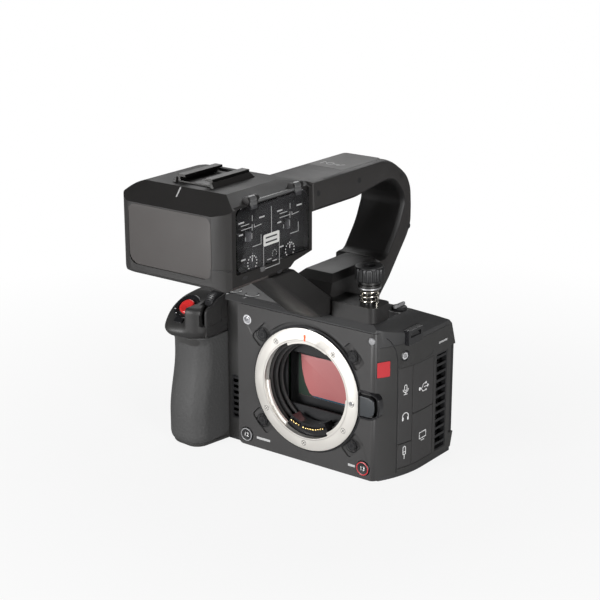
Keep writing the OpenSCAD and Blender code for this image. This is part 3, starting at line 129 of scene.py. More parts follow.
def rings(name, grid, closed=False, smooth=40, flip=False):
    """Closed rings of points carried from first to last; the end rings are filled unless the chain is closed."""
    grid = np.asarray(grid, float)
    n, m = grid.shape[:2]
    faces = quads(n, m, closed, True)
    if not closed:
        faces += [list(range(m))[::-1], [(n - 1) * m + k for k in range(m)]]
    if flip:
        faces = [f[::-1] for f in faces]
    return put(name, grid.reshape(-1, 3), faces, smooth)


def frame_of(axis):
    """Two unit vectors square to the axis, so that u x v = axis."""
    axis = np.asarray(axis, float) / np.linalg.norm(axis)
    side = np.array([0.0, 0.0, 1.0]) if abs(axis[2]) < 0.9 else np.array([0.0, 1.0, 0.0])
    u = np.cross(side, axis)
    u /= np.linalg.norm(u)
    return u, np.cross(axis, u), axis


def turned(name, profile, origin, axis, steps=96, waves=0, depth=0.0, grip=None, smooth=35):
    """A profile of (radius, height) turned about an axis; knurls press the radius in by depth, waves times round,
    on the rows that grip names."""
    profile = np.asarray(profile, float)
    u, v, w = frame_of(axis)
    a = np.linspace(0, 2 * np.pi, steps, endpoint=False)
    r = np.repeat(profile[:, :1], steps, 1)
    if waves:
        rows = np.zeros(len(profile), bool)
        rows[grip] = True
        r = r - rows[:, None] * depth * (0.5 - 0.5 * np.cos(a * waves))[None]
    pts = (np.asarray(origin, float) + r[..., None] * (np.cos(a)[:, None] * u + np.sin(a)[:, None] * v)
           + profile[:, 1, None, None] * w)
    closed = bool(np.allclose(profile[0], profile[-1]))
    return rings(name, pts[:-1] if closed else pts, closed, smooth)


def filleted(points, radii, steps=6):
    """An outline with each corner replaced by an arc of its own radius, both tangents kept."""
    pts = np.asarray(points, float)
    radii = np.broadcast_to(np.asarray(radii, float), (len(pts),))
    out = []
    for k, p in enumerate(pts):
        a, b = pts[k - 1] - p, pts[(k + 1) % len(pts)] - p
        la, lb = np.linalg.norm(a), np.linalg.norm(b)
        a, b = a / la, b / lb
        half = math.acos(max(-1, min(1, float(a @ b)))) / 2
        if radii[k] <= 0 or half > 1.56:
            out.append(p[None])
            continue
        reach = min(radii[k] / math.tan(half), la * 0.49, lb * 0.49)
        r = reach * math.tan(half)
        mid = (a + b) / np.linalg.norm(a + b)
        centre = p + mid * r / math.sin(half)
        t0, t1 = p + a * reach - centre, p + b * reach - centre
        ang0, ang1 = math.atan2(t0[1], t0[0]), math.atan2(t1[1], t1[0])
        turn = (ang1 - ang0 + math.pi) % (2 * math.pi) - math.pi
        ang = ang0 + turn * np.linspace(0, 1, steps)
        out.append(centre + r * np.stack([np.cos(ang), np.sin(ang)], 1))
    return np.concatenate(out)


def normals2(points):
    """Outward mitre of each corner of an anticlockwise outline."""
    p = np.asarray(points, float)
    d = np.roll(p, -1, 0) - p
    d /= np.maximum(np.linalg.norm(d, axis=1, keepdims=True), 1e-9)
    n = np.stack([d[:, 1], -d[:, 0]], 1)
    m = n + np.roll(n, 1, 0)
    m /= np.maximum(np.linalg.norm(m, axis=1, keepdims=True), 1e-9)
    return m / np.maximum((m * n).sum(1, keepdims=True), 0.4)


def anticlockwise(p):
    p = np.asarray(p, float)
    area = (p[:, 0] * np.roll(p[:, 1], -1) - p[:, 1] * np.roll(p[:, 0], -1)).sum()
    return p if area > 0 else p[::-1]


PLANES = {"x": (1, 2, 0), "y": (2, 0, 1), "z": (0, 1, 2)}


def slab(name, outline, axis, lo, hi, r=0.4, steps=3, place=None, smooth=50):
    """A plate: an outline drawn square to an axis, run from lo to hi, its rims rounded by r. The outline of an x plate
    is (y, z), of a y plate (x, z) and of a z plate (x, y). place turns (a, b, height) arrays into points instead."""
    p = np.asarray(outline, float)
    if axis == "y":
        p = p[:, ::-1]
    p = anticlockwise(p)
    m = normals2(p)
    turn = np.linspace(0, np.pi / 2, steps + 1)
    rim = [(r * (1 - np.sin(s)), r * (1 - np.cos(s))) for s in turn] if r > 0 else [(0, 0)]
    levels = [(inset, lo + h) for inset, h in rim] + [(inset, hi - h) for inset, h in rim[::-1]]
    grid = np.array([np.column_stack([p - m * inset, np.full(len(p), h)]) for inset, h in levels])
    if place is not None:
        grid = place(grid[..., 0], grid[..., 1], grid[..., 2])
    else:
        grid = grid[..., np.argsort(PLANES[axis])]
    return rings(name, grid, smooth=smooth)


def rect(a0, b0, a1, b1, r=0.0, steps=5):
    """A rectangle with rounded corners."""
    return filleted([(a0, b0), (a1, b0), (a1, b1), (a0, b1)], r, steps)


def disc(a, b, r, steps=40):
    t = np.linspace(0, 2 * np.pi, steps, endpoint=False)
    return np.column_stack([a + r * np.cos(t), b + r * np.sin(t)])


def tube(name, path, r, sides=12, smooth=60):
    """A round bar along a path, its rings kept square to the path by carrying one side vector along it."""
    path = np.asarray(path, float)
    t = np.gradient(path, axis=0)
    t /= np.linalg.norm(t, axis=1, keepdims=True)
    u = frame_of(t[0])[0]
    us = []
    for k in range(len(path)):
        u = u - t[k] * (u @ t[k])
        u = u / np.linalg.norm(u)
        us.append(u)
    us = np.array(us)
    vs = np.cross(t, us)
    a = np.linspace(0, 2 * np.pi, sides, endpoint=False)
    grid = path[:, None] + r * (np.cos(a)[None, :, None] * us[:, None] + np.sin(a)[None, :, None] * vs[:, None])
    return rings(name, grid, smooth=smooth)


def star(name, inside, centre, rows=120, cols=200, reach=120.0, smooth=60):
    """A closed surface round a centre: along each direction of a globe's grid, the distance at which the function
    inside(x, y, z), negative in the solid, turns positive, found by halving."""
    th = np.linspace(0, np.pi, rows + 2)[1:-1]
    ph = np.linspace(0, 2 * np.pi, cols, endpoint=False)
    th, ph = np.meshgrid(th, ph, indexing="ij")
    d = np.stack([np.sin(th) * np.cos(ph), np.sin(th) * np.sin(ph), np.cos(th)], -1)
    d = np.concatenate([d.reshape(-1, 3), [[0, 0, 1.0], [0, 0, -1.0]]])
    d /= np.linalg.norm(d, axis=1, keepdims=True)
    lo, hi = np.zeros(len(d)), np.full(len(d), reach)
    c = np.asarray(centre, float)
    for _ in range(26):
        mid = (lo + hi) / 2
        p = c + d * mid[:, None]
        inn = inside(p[:, 0], p[:, 1], p[:, 2]) < 0
        lo, hi = np.where(inn, mid, lo), np.where(inn, hi, mid)
    pts = c + d * lo[:, None]
    top, bottom = rows * cols, rows * cols + 1
    faces = [f[::-1] for f in quads(rows, cols, False, True)]
    k = np.arange(cols)
    faces += np.stack([np.full(cols, top), k, (k + 1) % cols], 1).tolist()
    base = (rows - 1) * cols
    faces += np.stack([np.full(cols, bottom), base + (k + 1) % cols, base + k], 1).tolist()
    return put(name, pts, faces, smooth)


def smax(k, *values):
    """Soft maximum: the largest value, blended over a width of about k where two are close."""
    out = values[0]
    for v in values[1:]:
        h = np.clip(0.5 + 0.5 * (out - v) / k, 0, 1)
        out = v * (1 - h) + out * h + k * h * (1 - h)
    return out


def smin(k, *values):
    return -smax(k, *[-v for v in values])


def soften(node, width, steps=2, angle=28):
    """A copy of a CAD node, its triangles merged into flats and its sharp edges rounded; the copy stands for it."""
    import bmesh
    bm = bmesh.new()
    bm.from_mesh(NODES[node].data)
    bmesh.ops.remove_doubles(bm, verts=bm.verts, dist=2e-6)
    bmesh.ops.dissolve_limit(bm, angle_limit=math.radians(1.0), verts=bm.verts, edges=bm.edges,
                             use_dissolve_boundaries=False)
    mesh = bpy.data.meshes.new(node + "_soft")
    bm.to_mesh(mesh)
    bm.free()
    ob = bpy.data.objects.new(node + "_soft", mesh)
    bpy.context.scene.collection.objects.link(ob)
    mod = ob.modifiers.new("Edges", "BEVEL")
    mod.width = width * MM
    mod.segments = steps
    mod.limit_method = "ANGLE"
    mod.angle_limit = math.radians(angle)
    mod.harden_normals = True
    shade(ob, angle + 12)
    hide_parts(node)
    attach(ob, BODY_OF[node])
    return ob


def ride(ob, body="camera", stands_for=(), mat=None):
    """Rides a new piece on its body and gives it its material."""
    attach(ob, body)
    if stands_for:
        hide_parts(*([stands_for] if isinstance(stands_for, str) else stands_for))
    if mat:
        dress(ob, mat)
    return ob


def dress(ob, mat):
    """Every face of the piece takes one material."""
    ob.data.materials.clear()
    ob.data.materials.append(material(mat))
    return ob


BODY_OF = {n: b for b, members in frame["record"]["behaviour"]["bodies"].items() for n in members}


# ---------------------------------------------------------------- finishes

def link(tree, a, b):
    tree.links.new(a, b)


def group(name, inputs, outputs):
    """A shader node group with named sockets, or None if it is already built."""
    if name in bpy.data.node_groups:
        return None
    g = bpy.data.node_groups.new(name, "ShaderNodeTree")
    for label, kind, value in inputs:
        s = g.interface.new_socket(name=label, in_out="INPUT", socket_type=kind)
        if value is not None:
            s.default_value = value
    for label, kind in outputs:
        g.interface.new_socket(name=label, in_out="OUTPUT", socket_type=kind)
    return g, g.nodes.new("NodeGroupInput"), g.nodes.new("NodeGroupOutput")


def build_grain():
    """Moulded grain: fine noise for height, and a slow noise that shifts the roughness like handling marks."""
    made = group("Moulded grain", [("Scale", "NodeSocketFloat", 2500.0), ("Rough", "NodeSocketFloat", 0.45),
                                   ("Vary", "NodeSocketFloat", 0.08)],
                 [("Height", "NodeSocketFloat"), ("Roughness", "NodeSocketFloat")])
    if not made:
        return
    g, i, o = made
    co = g.nodes.new("ShaderNodeTexCoord")
    fine = g.nodes.new("ShaderNodeTexNoise")
    fine.inputs["Detail"].default_value = 3
    link(g, co.outputs["Object"], fine.inputs["Vector"])
    link(g, i.outputs["Scale"], fine.inputs["Scale"])
    slow = g.nodes.new("ShaderNodeTexNoise")
    slow.inputs["Scale"].default_value = 60
    slow.inputs["Detail"].default_value = 5
    link(g, co.outputs["Object"], slow.inputs["Vector"])
    sub = g.nodes.new("ShaderNodeMath")
    sub.operation = "SUBTRACT"
    sub.inputs[1].default_value = 0.5
    link(g, slow.outputs["Fac"], sub.inputs[0])
    mul = g.nodes.new("ShaderNodeMath")
    mul.operation = "MULTIPLY_ADD"
    link(g, sub.outputs[0], mul.inputs[0])
    link(g, i.outputs["Vary"], mul.inputs[1])
    link(g, i.outputs["Rough"], mul.inputs[2])
    link(g, fine.outputs["Fac"], o.inputs["Height"])
    link(g, mul.outputs[0], o.inputs["Roughness"])


def build_pebble():
    """Rubber grain: rounded cells with fine noise between them."""
    made = group("Pebbled rubber", [("Scale", "NodeSocketFloat", 900.0)], [("Height", "NodeSocketFloat")])
    if not made:
        return
    g, i, o = made
    co = g.nodes.new("ShaderNodeTexCoord")
    cells = g.nodes.new("ShaderNodeTexVoronoi")
    cells.feature = "SMOOTH_F1"
    cells.inputs["Smoothness"].default_value = 0.5
    link(g, co.outputs["Object"], cells.inputs["Vector"])
    link(g, i.outputs["Scale"], cells.inputs["Scale"])
    fine = g.nodes.new("ShaderNodeTexNoise")
    fine.inputs["Scale"].default_value = 2600
    link(g, co.outputs["Object"], fine.inputs["Vector"])
    mix = g.nodes.new("ShaderNodeMath")
    mix.operation = "MULTIPLY_ADD"
    mix.inputs[1].default_value = 0.35
    link(g, fine.outputs["Fac"], mix.inputs[0])
    link(g, cells.outputs["Distance"], mix.inputs[2])
    neg = g.nodes.new("ShaderNodeMath")
    neg.operation = "MULTIPLY"
    neg.inputs[1].default_value = -1
    link(g, mix.outputs[0], neg.inputs[0])
    link(g, neg.outputs[0], o.inputs["Height"])


def build_turned():
    """Turned metal: noise read along the radius from the lens axis, so its lines run round the ring."""
    made = group("Turned metal", [("Scale", "NodeSocketFloat", 4000.0)], [("Height", "NodeSocketFloat")])
    if not made:
        return
    g, i, o = made
    co = g.nodes.new("ShaderNodeTexCoord")
    move = g.nodes.new("ShaderNodeVectorMath")
    move.operation = "SUBTRACT"
    move.inputs[1].default_value = (0, 0, AXIS_Z * MM)
    link(g, co.outputs["Object"], move.inputs[0])
    flat = g.nodes.new("ShaderNodeVectorMath")
    flat.operation = "MULTIPLY"
    flat.inputs[1].default_value = (1, 0, 1)
    link(g, move.outputs[0], flat.inputs[0])
    length = g.nodes.new("ShaderNodeVectorMath")
    length.operation = "LENGTH"
    link(g, flat.outputs[0], length.inputs[0])
    noise = g.nodes.new("ShaderNodeTexNoise")
    noise.noise_dimensions = "1D"
    link(g, i.outputs["Scale"], noise.inputs["Scale"])
    link(g, length.outputs["Value"], noise.inputs["W"])
    link(g, noise.outputs["Fac"], o.inputs["Height"])


# finishes whose colour is a setting
PICKED = {"casing": "charcoal", "red": "red", "fascia": "fascia"}
# name: colour, roughness, and what else its surface has
FINISHES = {
    "casing": dict(rough=0.42, grain=2600, bump=0.10),
    "rim": dict(color=(0.55, 0.53, 0.50), rough=0.3, metal=0.8),
    "shoe": dict(color=(0.07, 0.069, 0.068), rough=0.34, metal=1.0, grain=2600, bump=0.05),
    # colour of the painted bluish reflection along the sensor window's bottom
    "blue": dict(color=(0.01, 0.06, 0.09), rough=0.1),
    "badge": dict(color=(0.40, 0.028, 0.034), rough=0.35),
    "orange": dict(color=(0.80, 0.10, 0.03), rough=0.5),
    "pins": dict(color=(0.85, 0.62, 0.25), rough=0.25, metal=1.0),
    "head": dict(color=(0.018, 0.0175, 0.0174), rough=0.5, grain=2400, bump=0.12),
    # the loop's inner rim, far darker than the handle: painted shade of the hand space
    "handle_inner": dict(color=(0.0045, 0.0042, 0.0042), rough=0.5, grain=2200, bump=0.12),
    # colour of the painted dark reflection on the sensor's window
    "shade": dict(color=(0.003, 0.014, 0.007), rough=0.5),
    "key": dict(color=(0.034, 0.037, 0.040), rough=0.4, grain=2400, bump=0.06),
    "dim_key": dict(color=(0.07, 0.07, 0.07), rough=0.45, grain=2200, bump=0.06),
    "step": dict(color=(0.035, 0.034, 0.034), rough=0.55),
    "smoke": dict(color=(0.085, 0.085, 0.086), rough=0.25, coat=0.4),
    "plate": dict(color=(0.030, 0.0292, 0.0292), rough=0.45, grain=2400, bump=0.14),
    "lid": dict(color=(0.035, 0.035, 0.0355), rough=0.42, grain=2400, bump=0.12),
    "base": dict(color=(0.03, 0.03, 0.031), rough=0.5, grain=1800, bump=0.15),
    "steel": dict(color=(0.62, 0.62, 0.63), rough=0.28, metal=1, grain=1200, bump=0.05),
    "bright": dict(color=(0.62, 0.60, 0.565), rough=0.45, metal=0.55, turned=900, bump=0.03),
    "baffle": dict(color=(0.008, 0.008, 0.009), rough=0.55, grain=1500, bump=0.1),
    "sensor_glass": dict(color=(0.36, 0.125, 0.125), rough=0.3, coat=0.5),
    "board": dict(color=(0.02, 0.12, 0.05), rough=0.45, grain=900, bump=0.1),
    "fan": dict(color=(0.015, 0.015, 0.016), rough=0.45, grain=2000, bump=0.08),
    "dark": dict(color=(0.016, 0.016, 0.017), rough=0.38, grain=2200, bump=0.08),
    "button": dict(color=(0.028, 0.028, 0.029), rough=0.34, grain=2200, bump=0.06),
    "cover": dict(color=(0.036, 0.035, 0.035), rough=0.5, grain=2600, bump=0.16),
    "grey": dict(color=(0.2, 0.2, 0.205), rough=0.4, grain=2200, bump=0.08),
    "rubber": dict(color=(0.040, 0.040, 0.040), rough=0.65, pebble=620, bump=0.4),
    "gloss": dict(color=(0.008, 0.008, 0.009), rough=0.12, coat=0.6),
    "red": dict(rough=0.22, coat=0.6),
    "handle": dict(color=(0.024, 0.0225, 0.022), rough=0.42, grain=2200, bump=0.12),
    "handle_low": dict(color=(0.016, 0.0154, 0.0152), rough=0.4, grain=2200, bump=0.12),
    # much lighter than the handle's plastic: painted sheen of the handle's top
    "cap": dict(color=(0.15, 0.148, 0.146), rough=0.5, grain=2200, bump=0.1),
    "knurl": dict(color=(0.035, 0.035, 0.036), rough=0.3, metal=0.6, grain=1600, bump=0.04),
    "spring": dict(color=(0.72, 0.68, 0.6), rough=0.16, metal=1),
    "box": dict(color=(0.013, 0.0122, 0.0119), rough=0.45, grain=2400, bump=0.12),
    "fascia": dict(rough=0.6, grain=2400, bump=0.1),
    "panel": dict(color=(0.008, 0.008, 0.008), rough=0.45),
    "mark": dict(color=(0.62, 0.62, 0.62), rough=0.5),
    "mark_dim": dict(color=(0.34, 0.34, 0.34), rough=0.5),
    "lamp": dict(color=(0.42, 0.42, 0.43), rough=0.18, coat=0.8),
    "label": dict(color=(0.52, 0.52, 0.50), rough=0.5, grain=1400, bump=0.03),
    "chrome": dict(color=(0.75, 0.75, 0.76), rough=0.1, metal=1),
    "screen_glass": dict(color=(0.006, 0.007, 0.009), rough=0.05, coat=1.0),
    "battery": dict(color=(0.04, 0.04, 0.042), rough=0.4, grain=2200, bump=0.08),
}


def material(name):
    """The named finish as a material, built once."""
    if "look " + name in bpy.data.materials:
        return bpy.data.materials["look " + name]
    if name == "clear":
        return clear_plastic()
    f = FINISHES[name]
    colour = getattr(looks(), PICKED[name]) if name in PICKED else f["color"]
    build_grain(), build_pebble(), build_turned()
    mat = bpy.data.materials.new("look " + name)
    mat.use_nodes = True
    t = mat.node_tree
    p = t.nodes["Principled BSDF"]
    p.inputs["Base Color"].default_value = (*colour, 1)
    p.inputs["Roughness"].default_value = f["rough"]
    p.inputs["Metallic"].default_value = f.get("metal", 0)
    p.inputs["Coat Weight"].default_value = f.get("coat", 0)
    p.inputs["Specular IOR Level"].default_value = 0.35
    p.inputs["Coat Roughness"].default_value = 0.05
    source = None
    for key, tree in (("grain", "Moulded grain"), ("pebble", "Pebbled rubber"), ("turned", "Turned metal")):
        if key in f:
            n = t.nodes.new("ShaderNodeGroup")
            n.node_tree = bpy.data.node_groups[tree]
            n.inputs["Scale"].default_value = f[key]
            source = n.outputs["Height"]
            if key == "grain":
                n.inputs["Rough"].default_value = f["rough"]
                n.inputs["Vary"].default_value = 0.22
                link(t, n.outputs["Roughness"], p.inputs["Roughness"])
    if source is not None:
        b = t.nodes.new("ShaderNodeBump")
        b.inputs["Strength"].default_value = f.get("bump", 0.1)
        b.inputs["Distance"].default_value = 0.0004
        link(t, source, b.inputs["Height"])
        link(t, b.outputs["Normal"], p.inputs["Normal"])
    return mat


def clear_plastic():
    """Clear smoke plastic: a thin tinted glass."""
    mat = bpy.data.materials.new("look clear")
    mat.use_nodes = True
    p = mat.node_tree.nodes["Principled BSDF"]
    p.inputs["Base Color"].default_value = (0.55, 0.55, 0.57, 1)
    p.inputs["Roughness"].default_value = 0.04
    p.inputs["IOR"].default_value = 1.3
    p.inputs["Transmission Weight"].default_value = 1.0
    return mat


# ---------------------------------------------------------------- marks

def on_y(y):
    """Marks drawn as (x, z) stand on the plane at y, facing -Y."""
    return lambda a, b, h: np.stack([a, y - h, b], -1)


def mark(name, outline, place, mat="mark", body="camera", t=0.05):
    """A thin printed shape: an outline of (a, b) laid on the surface that place gives."""
    ob = slab(name, outline, "z", -0.02, t, 0, place=place)
    return ride(ob, body, mat=mat)


def on_x(x):
    """Marks drawn as (y, z) on the plane at x, facing +X."""
    return lambda a, b, h: np.stack([x + h, a, b], -1)


def on_z(z):
    """Marks drawn as (x, y) on the plane at z, facing up."""
    return lambda a, b, h: np.stack([a, b, z + h], -1)


def lines(name, paths, width, place, mat="mark", body="camera", t=0.05):
    """Thin printed lines: each segment of each path of (a, b) is a flat closed strip on the surface place gives."""
    verts, faces = [], []
    for path in paths:
        for p, q in zip(path, path[1:]):
            p, q = np.array(p, float), np.array(q, float)
            u = (q - p) / np.hypot(*(q - p)) * width / 2
            n = np.array([-u[1], u[0]])
            c = np.array([p - u * 0.8 - n, q + u * 0.8 - n, q + u * 0.8 + n, p - u * 0.8 + n])
            k = len(verts)
            for h in (-0.02, t):
                verts += list(place(c[:, 0], c[:, 1], np.full(4, h)))
            faces += [[k + 3, k + 2, k + 1, k], [k + 4, k + 5, k + 6, k + 7]]
            faces += [[k + i, k + (i + 1) % 4, k + 4 + (i + 1) % 4, k + 4 + i] for i in range(4)]
    return ride(put(name, np.array(verts), faces, 0), body, mat=mat)


def lettering(name, text, size, at, place, mat="mark", body="camera"):
    """Plain numbers as thin printed shapes, centred on at."""
    curve = bpy.data.curves.new(name, "FONT")
    curve.body, curve.size, curve.extrude = text, size, 0.03
    curve.align_x, curve.align_y = "CENTER", "CENTER"
    flat = bpy.data.objects.new(name, curve)
    bpy.context.scene.collection.objects.link(flat)
    mesh = bpy.data.meshes.new_from_object(flat.evaluated_get(bpy.context.evaluated_depsgraph_get()))
    bpy.data.objects.remove(flat)
    co = np.empty(len(mesh.vertices) * 3)
    mesh.vertices.foreach_get("co", co)
    co = co.reshape(-1, 3)
    pts = place(at[0] + co[:, 0], at[1] + co[:, 1], co[:, 2] + 0.02)
    return ride(put(name, pts, [list(p.vertices) for p in mesh.polygons], 0), body, mat=mat)


def arc(a, b, r, start, stop, count=12):
    """Points of an arc about (a, b), in degrees."""
    t = np.radians(np.linspace(start, stop, count))
    return list(zip(a + r * np.cos(t), b + r * np.sin(t)))


def small_screw(name, a, b, r, place, head="steel", body="camera"):
    """A countersunk screw: a dark rim, a head and its cross slot."""
    mark(name + "_rim", disc(a, b, r * 1.18, 28), place, "dark", body, 0.03)
    mark(name + "_head", disc(a, b, r, 28), place, head, body, 0.10)
    k = r * 0.55
    lines(name + "_slot", [[(a - k, b - k), (a + k, b + k)], [(a - k, b + k), (a + k, b - k)]], r * 0.24, place, "dark",
          body, 0.12)


# the terminal side: the place of its straight, and the radius and centre of its curve
SIDE_X, SIDE_R, SIDE_Y = 52.2, 60.7, 15.3


def side_x(y):
    """The terminal side's distance from the lens axis at y: an arc that runs into a straight."""
    y = np.asarray(y, float)
    bow = SIDE_X - SIDE_R + np.sqrt(np.maximum(SIDE_R ** 2 - (y - SIDE_Y) ** 2, 0))
    return np.where(y > SIDE_Y, SIDE_X, bow)


def on_side(a, b, h):
    """Marks drawn as (y, z) on the curved terminal side."""
    return np.stack([side_x(a) + h, a, b], -1)


# ---------------------------------------------------------------- pieces

class Casing(bpy.types.Operator):
    """Rounds the moulded edges of the casing, plate, covers and small fixed parts"""
    bl_idname = "cinema.casing"
    bl_label = "Casing"

    def execute(self, context):
        for node, mat, width in (
                ("body_shell", "casing", 0.35), ("front_plate", "plate", 0.3), ("top_cover", "lid", 0.45),
                ("base_plate", "base", 0.4), ("rear_cover", "casing", 0.5), ("body_shoe", "steel", 0.2),
                ("vent_grilles", "dark", 0.12), ("strap_lug", "gloss", 0.5), ("handle_foot", "handle_low", 0.7),
                ("handle_neck", "handle_low", 0.9), ("shoe_plinth", "box", 0.25), ("cold_shoe", "shoe", 0.25),
                ("battery_door", "casing", 0.3), ("card_door", "casing", 0.35), ("grip_core", "casing", 0.3),
                ("audio_port_cover", "cover", 0.3), ("remote_port_cover", "cover", 0.3),
                ("data_port_cover", "cover", 0.3), ("video_port_cover", "cover", 0.3),
                ("screen_arm", "dark", 0.3), ("mount_ring", "bright", 0.15)):
            dress(soften(node, width), mat)
        for node, mat in (("circuit_boards", "board"), ("fan_housing", "fan"), ("fan_rotor", "fan"),
                          ("port_sockets", "dark"), ("battery", "battery"), ("lock_pin", "chrome"),
                          ("mount_barrel", "baffle"), ("casing_screws", "knurl"), ("lamps", "lamp"),
                          ("screw_washer", "steel"), ("xlr_sockets", "dark"), ("sensor", "dark"),
                          ("audio_panel", "panel"), ("contact_block", "gloss"),
                          ("input_switch_front", "grey"), ("input_switch_rear", "grey")):
            NODES[node].data.materials.clear()
            NODES[node].data.materials.append(material(mat))
        return {"FINISHED"}


class Mount(bpy.types.Operator):
    """The lens mount: the ring's rim, its screws and mark, the contact pins and the sensor's window"""
    bl_idname = "cinema.mount"
    bl_label = "Lens mount"

    def execute(self, context):
        c = (0, 0, AXIS_Z)
        wall = [(33.6, 18.4), (34.03, 18.9), (34.05, 18.15), (35.3, 18.1), (35.3, 17.9), (34.0, 17.9), (33.6, 18.4)]
        ride(turned("ring_wall", wall, c, (0, -1, 0), 160), mat="gloss")
        lip = [(27.0, 18.5), (26.97, 18.5), (26.97, 19.6), (27.5, 20.03), (28.0, 20.03), (27.9, 19.9), (27.0, 18.5)]
        ride(turned("ring_lip", lip, c, (0, -1, 0), 160), mat="rim")
        face = on_y(RING_Y)
        for k, t in enumerate((129, 52.5, -1.8, -34, -91, -148)):
            t = math.radians(t)
            small_screw("ring_screw_%d" % k, 30.2 * math.cos(t), AXIS_Z + 30.2 * math.sin(t), 1.3, face, "bright")
        mark("ring_mark", [(-0.45, 69.9), (0.45, 69.9), (0.8, 73.6), (-0.8, 73.6)], face, "orange")
        r, pins = 22.65, 13
        step = 54 / pins
        for k in range(pins):
            t = math.radians(243 + step * (k if k < 4 else k + 1))
            at = (r * math.cos(t), 0, AXIS_Z + r * math.sin(t))
            ride(turned("contact_pin_%d" % k, [(0, 16.6), (0.6, 16.6), (0.6, 17.8), (0.4, 18.0), (0, 18.1)], at,
                        (0, -1, 0), 16), mat="pins")
        for k, (r0, r1, y) in enumerate(((25.4, 26.85, -15.4), (24.0, 26.0, -12.6), (22.9, 24.6, -9.4))):
            ride(turned("throat_step_%d" % k, [(r0, -y), (r1, -y), (r1, -y - 0.9), (r0, -y - 0.9), (r0, -y)], c,
                        (0, -1, 0), 120), mat="step")
        ride(slab("sensor_window", rect(-17.7, 30.8, 17.7, 54.2, 0.2), "y", -1.18, -0.98, 0.05),
             mat="sensor_glass")
        # painted reflection: a dark patch across the sensor window's left side
        mark("sensor_dark_reflection", [(-17.7, 30.9), (-7.4, 30.9), (-10.4, 32.6), (-13.6, 38.4), (-15.6, 46.1), (-16.2, 54.1),
                              (-17.7, 54.1)], on_y(-1.2), "shade")
        # painted reflection: a bluish strip along the window's bottom
        mark("sensor_blue_reflection", rect(-17.5, 30.9, 17.5, 31.7, 0.1), on_y(-1.19), "blue")
        return {"FINISHED"}


class Plate(bpy.types.Operator):
    """The front plate's guard, numbered buttons, lamps and plain badge"""
    bl_idname = "cinema.plate"
    bl_label = "Front plate"

    def execute(self, context):
        guard = filleted([(33.4, 34.6), (41.5, 34.8), (46.4, 37.4), (47.2, 42.5), (46.4, 48.6), (41.5, 50.2),
                          (33.4, 50.4)], [2, 3, 3, 6, 3, 3, 2], 5)
        m = normals2(guard)
        rows = [(0, -15.5), (0, -18.9), (0.4, -19.3), (1.0, -19.3), (1.3, -18.9), (1.3, -15.5), (0, -15.5)]
        wall = np.array([np.column_stack([(guard - m * i)[:, 0], np.full(len(guard), y), (guard - m * i)[:, 1]])
                         for i, y in rows])
        ride(rings("release_guard", wall[:-1], True, flip=True), mat="gloss")
        key = filleted([(36.2, 37.1), (41.2, 37.2), (44.5, 39.0), (45.1, 42.6), (44.5, 46.8), (41.2, 47.9),
                        (36.2, 48.1)], [0.6, 2, 2, 4, 2, 2, 0.6], 5)
        ride(slab("release_key", key, "y", -21.0, -20.1, 0.4, 4), "lens_release_body", "lens_release", "key")
        stem = filleted([(35.2, 37.4), (40.0, 37.4), (42.8, 39.2), (42.8, 46.2), (40.0, 47.8), (35.2, 47.8)],
                        [0.6, 2.5, 2, 2, 2.5, 0.6], 5)
        ride(slab("release_stem", stem, "y", -20.2, -15.2, 0.1, 1), "lens_release_body", mat="dark")
        for side, x, text in (("left", -40.8, "12"), ("right", 36.7, "13")):
            body = "plate_button_%s_body" % side
            cap = [(0, 14), (3.98, 14), (4.0, 18.5), (3.75, 18.8), (3.3, 18.9), (2.8, 18.78), (0, 18.72)]
            ride(turned("plate_cap_" + side, cap, (x, 0, 6.7), (0, -1, 0), 64), body, "plate_button_" + side,
                 "dark")
            edge = [(3.0, 18.8), (3.4, 18.96), (3.75, 18.85), (3.6, 18.7), (3.0, 18.8)]
            ride(turned("plate_ring_" + side, edge, (x, 0, 6.7), (0, -1, 0), 64), body,
                 mat="grey" if side == "left" else "badge")
            lettering("plate_number_" + side, text, 3.3, (x, 6.7), on_y(-18.75), "mark", body)
        lines("plate_bar_left", [[(-33.6, 6.4), (-25.4, 6.4)]], 1.3, on_y(PLATE_Y), "mark_dim")
        lines("plate_bar_right", [[(27.6, 6.4), (31.0, 6.4)]], 1.3, on_y(PLATE_Y), "mark_dim")
        dome = [(0, 17.9), (1.9, 17.9), (2.0, 18.15), (1.4, 18.45), (0, 18.6)]
        ride(turned("lamp_dome", dome, (-40, 0, 73.5), (0, -1, 0), 40), mat="clear")
        tally = [(0, 17.5), (1.9, 17.5), (1.9, 18.1), (1.5, 18.5), (0, 18.7)]
        ride(turned("tally_dome", tally, (41.0, 0, 77.8), (0, -1, 0), 32), mat="grey")
        for k, (x, z) in enumerate(((-29.9, 67.2), (29.4, 66.6), (-29.9, 17.5), (29.2, 17.5))):
            lines("pad_line_%d" % k, [arc(x, z, 3.7, 0, 360, 33)], 0.5, on_y(PLATE_Y), "dark")
            mark("pad_%d" % k, disc(x, z, 2.7, 32), on_y(PLATE_Y), "gloss", t=0.12)
            mark("pad_head_%d" % k, disc(x, z, 2.0, 32), on_y(PLATE_Y), "knurl", t=0.3)
            mark("pad_hex_%d" % k, disc(x, z, 1.0, 6), on_y(PLATE_Y), "gloss", t=0.32)
        mark("badge_edge", rect(-16.6, 57.6, -9.5, 66.5, 0.4), on_side, "dark", t=0.2)
        mark("badge", rect(-16.3, 57.9, -9.8, 66.2, 0.4), on_side, "badge", t=0.32)
        return {"FINISHED"}


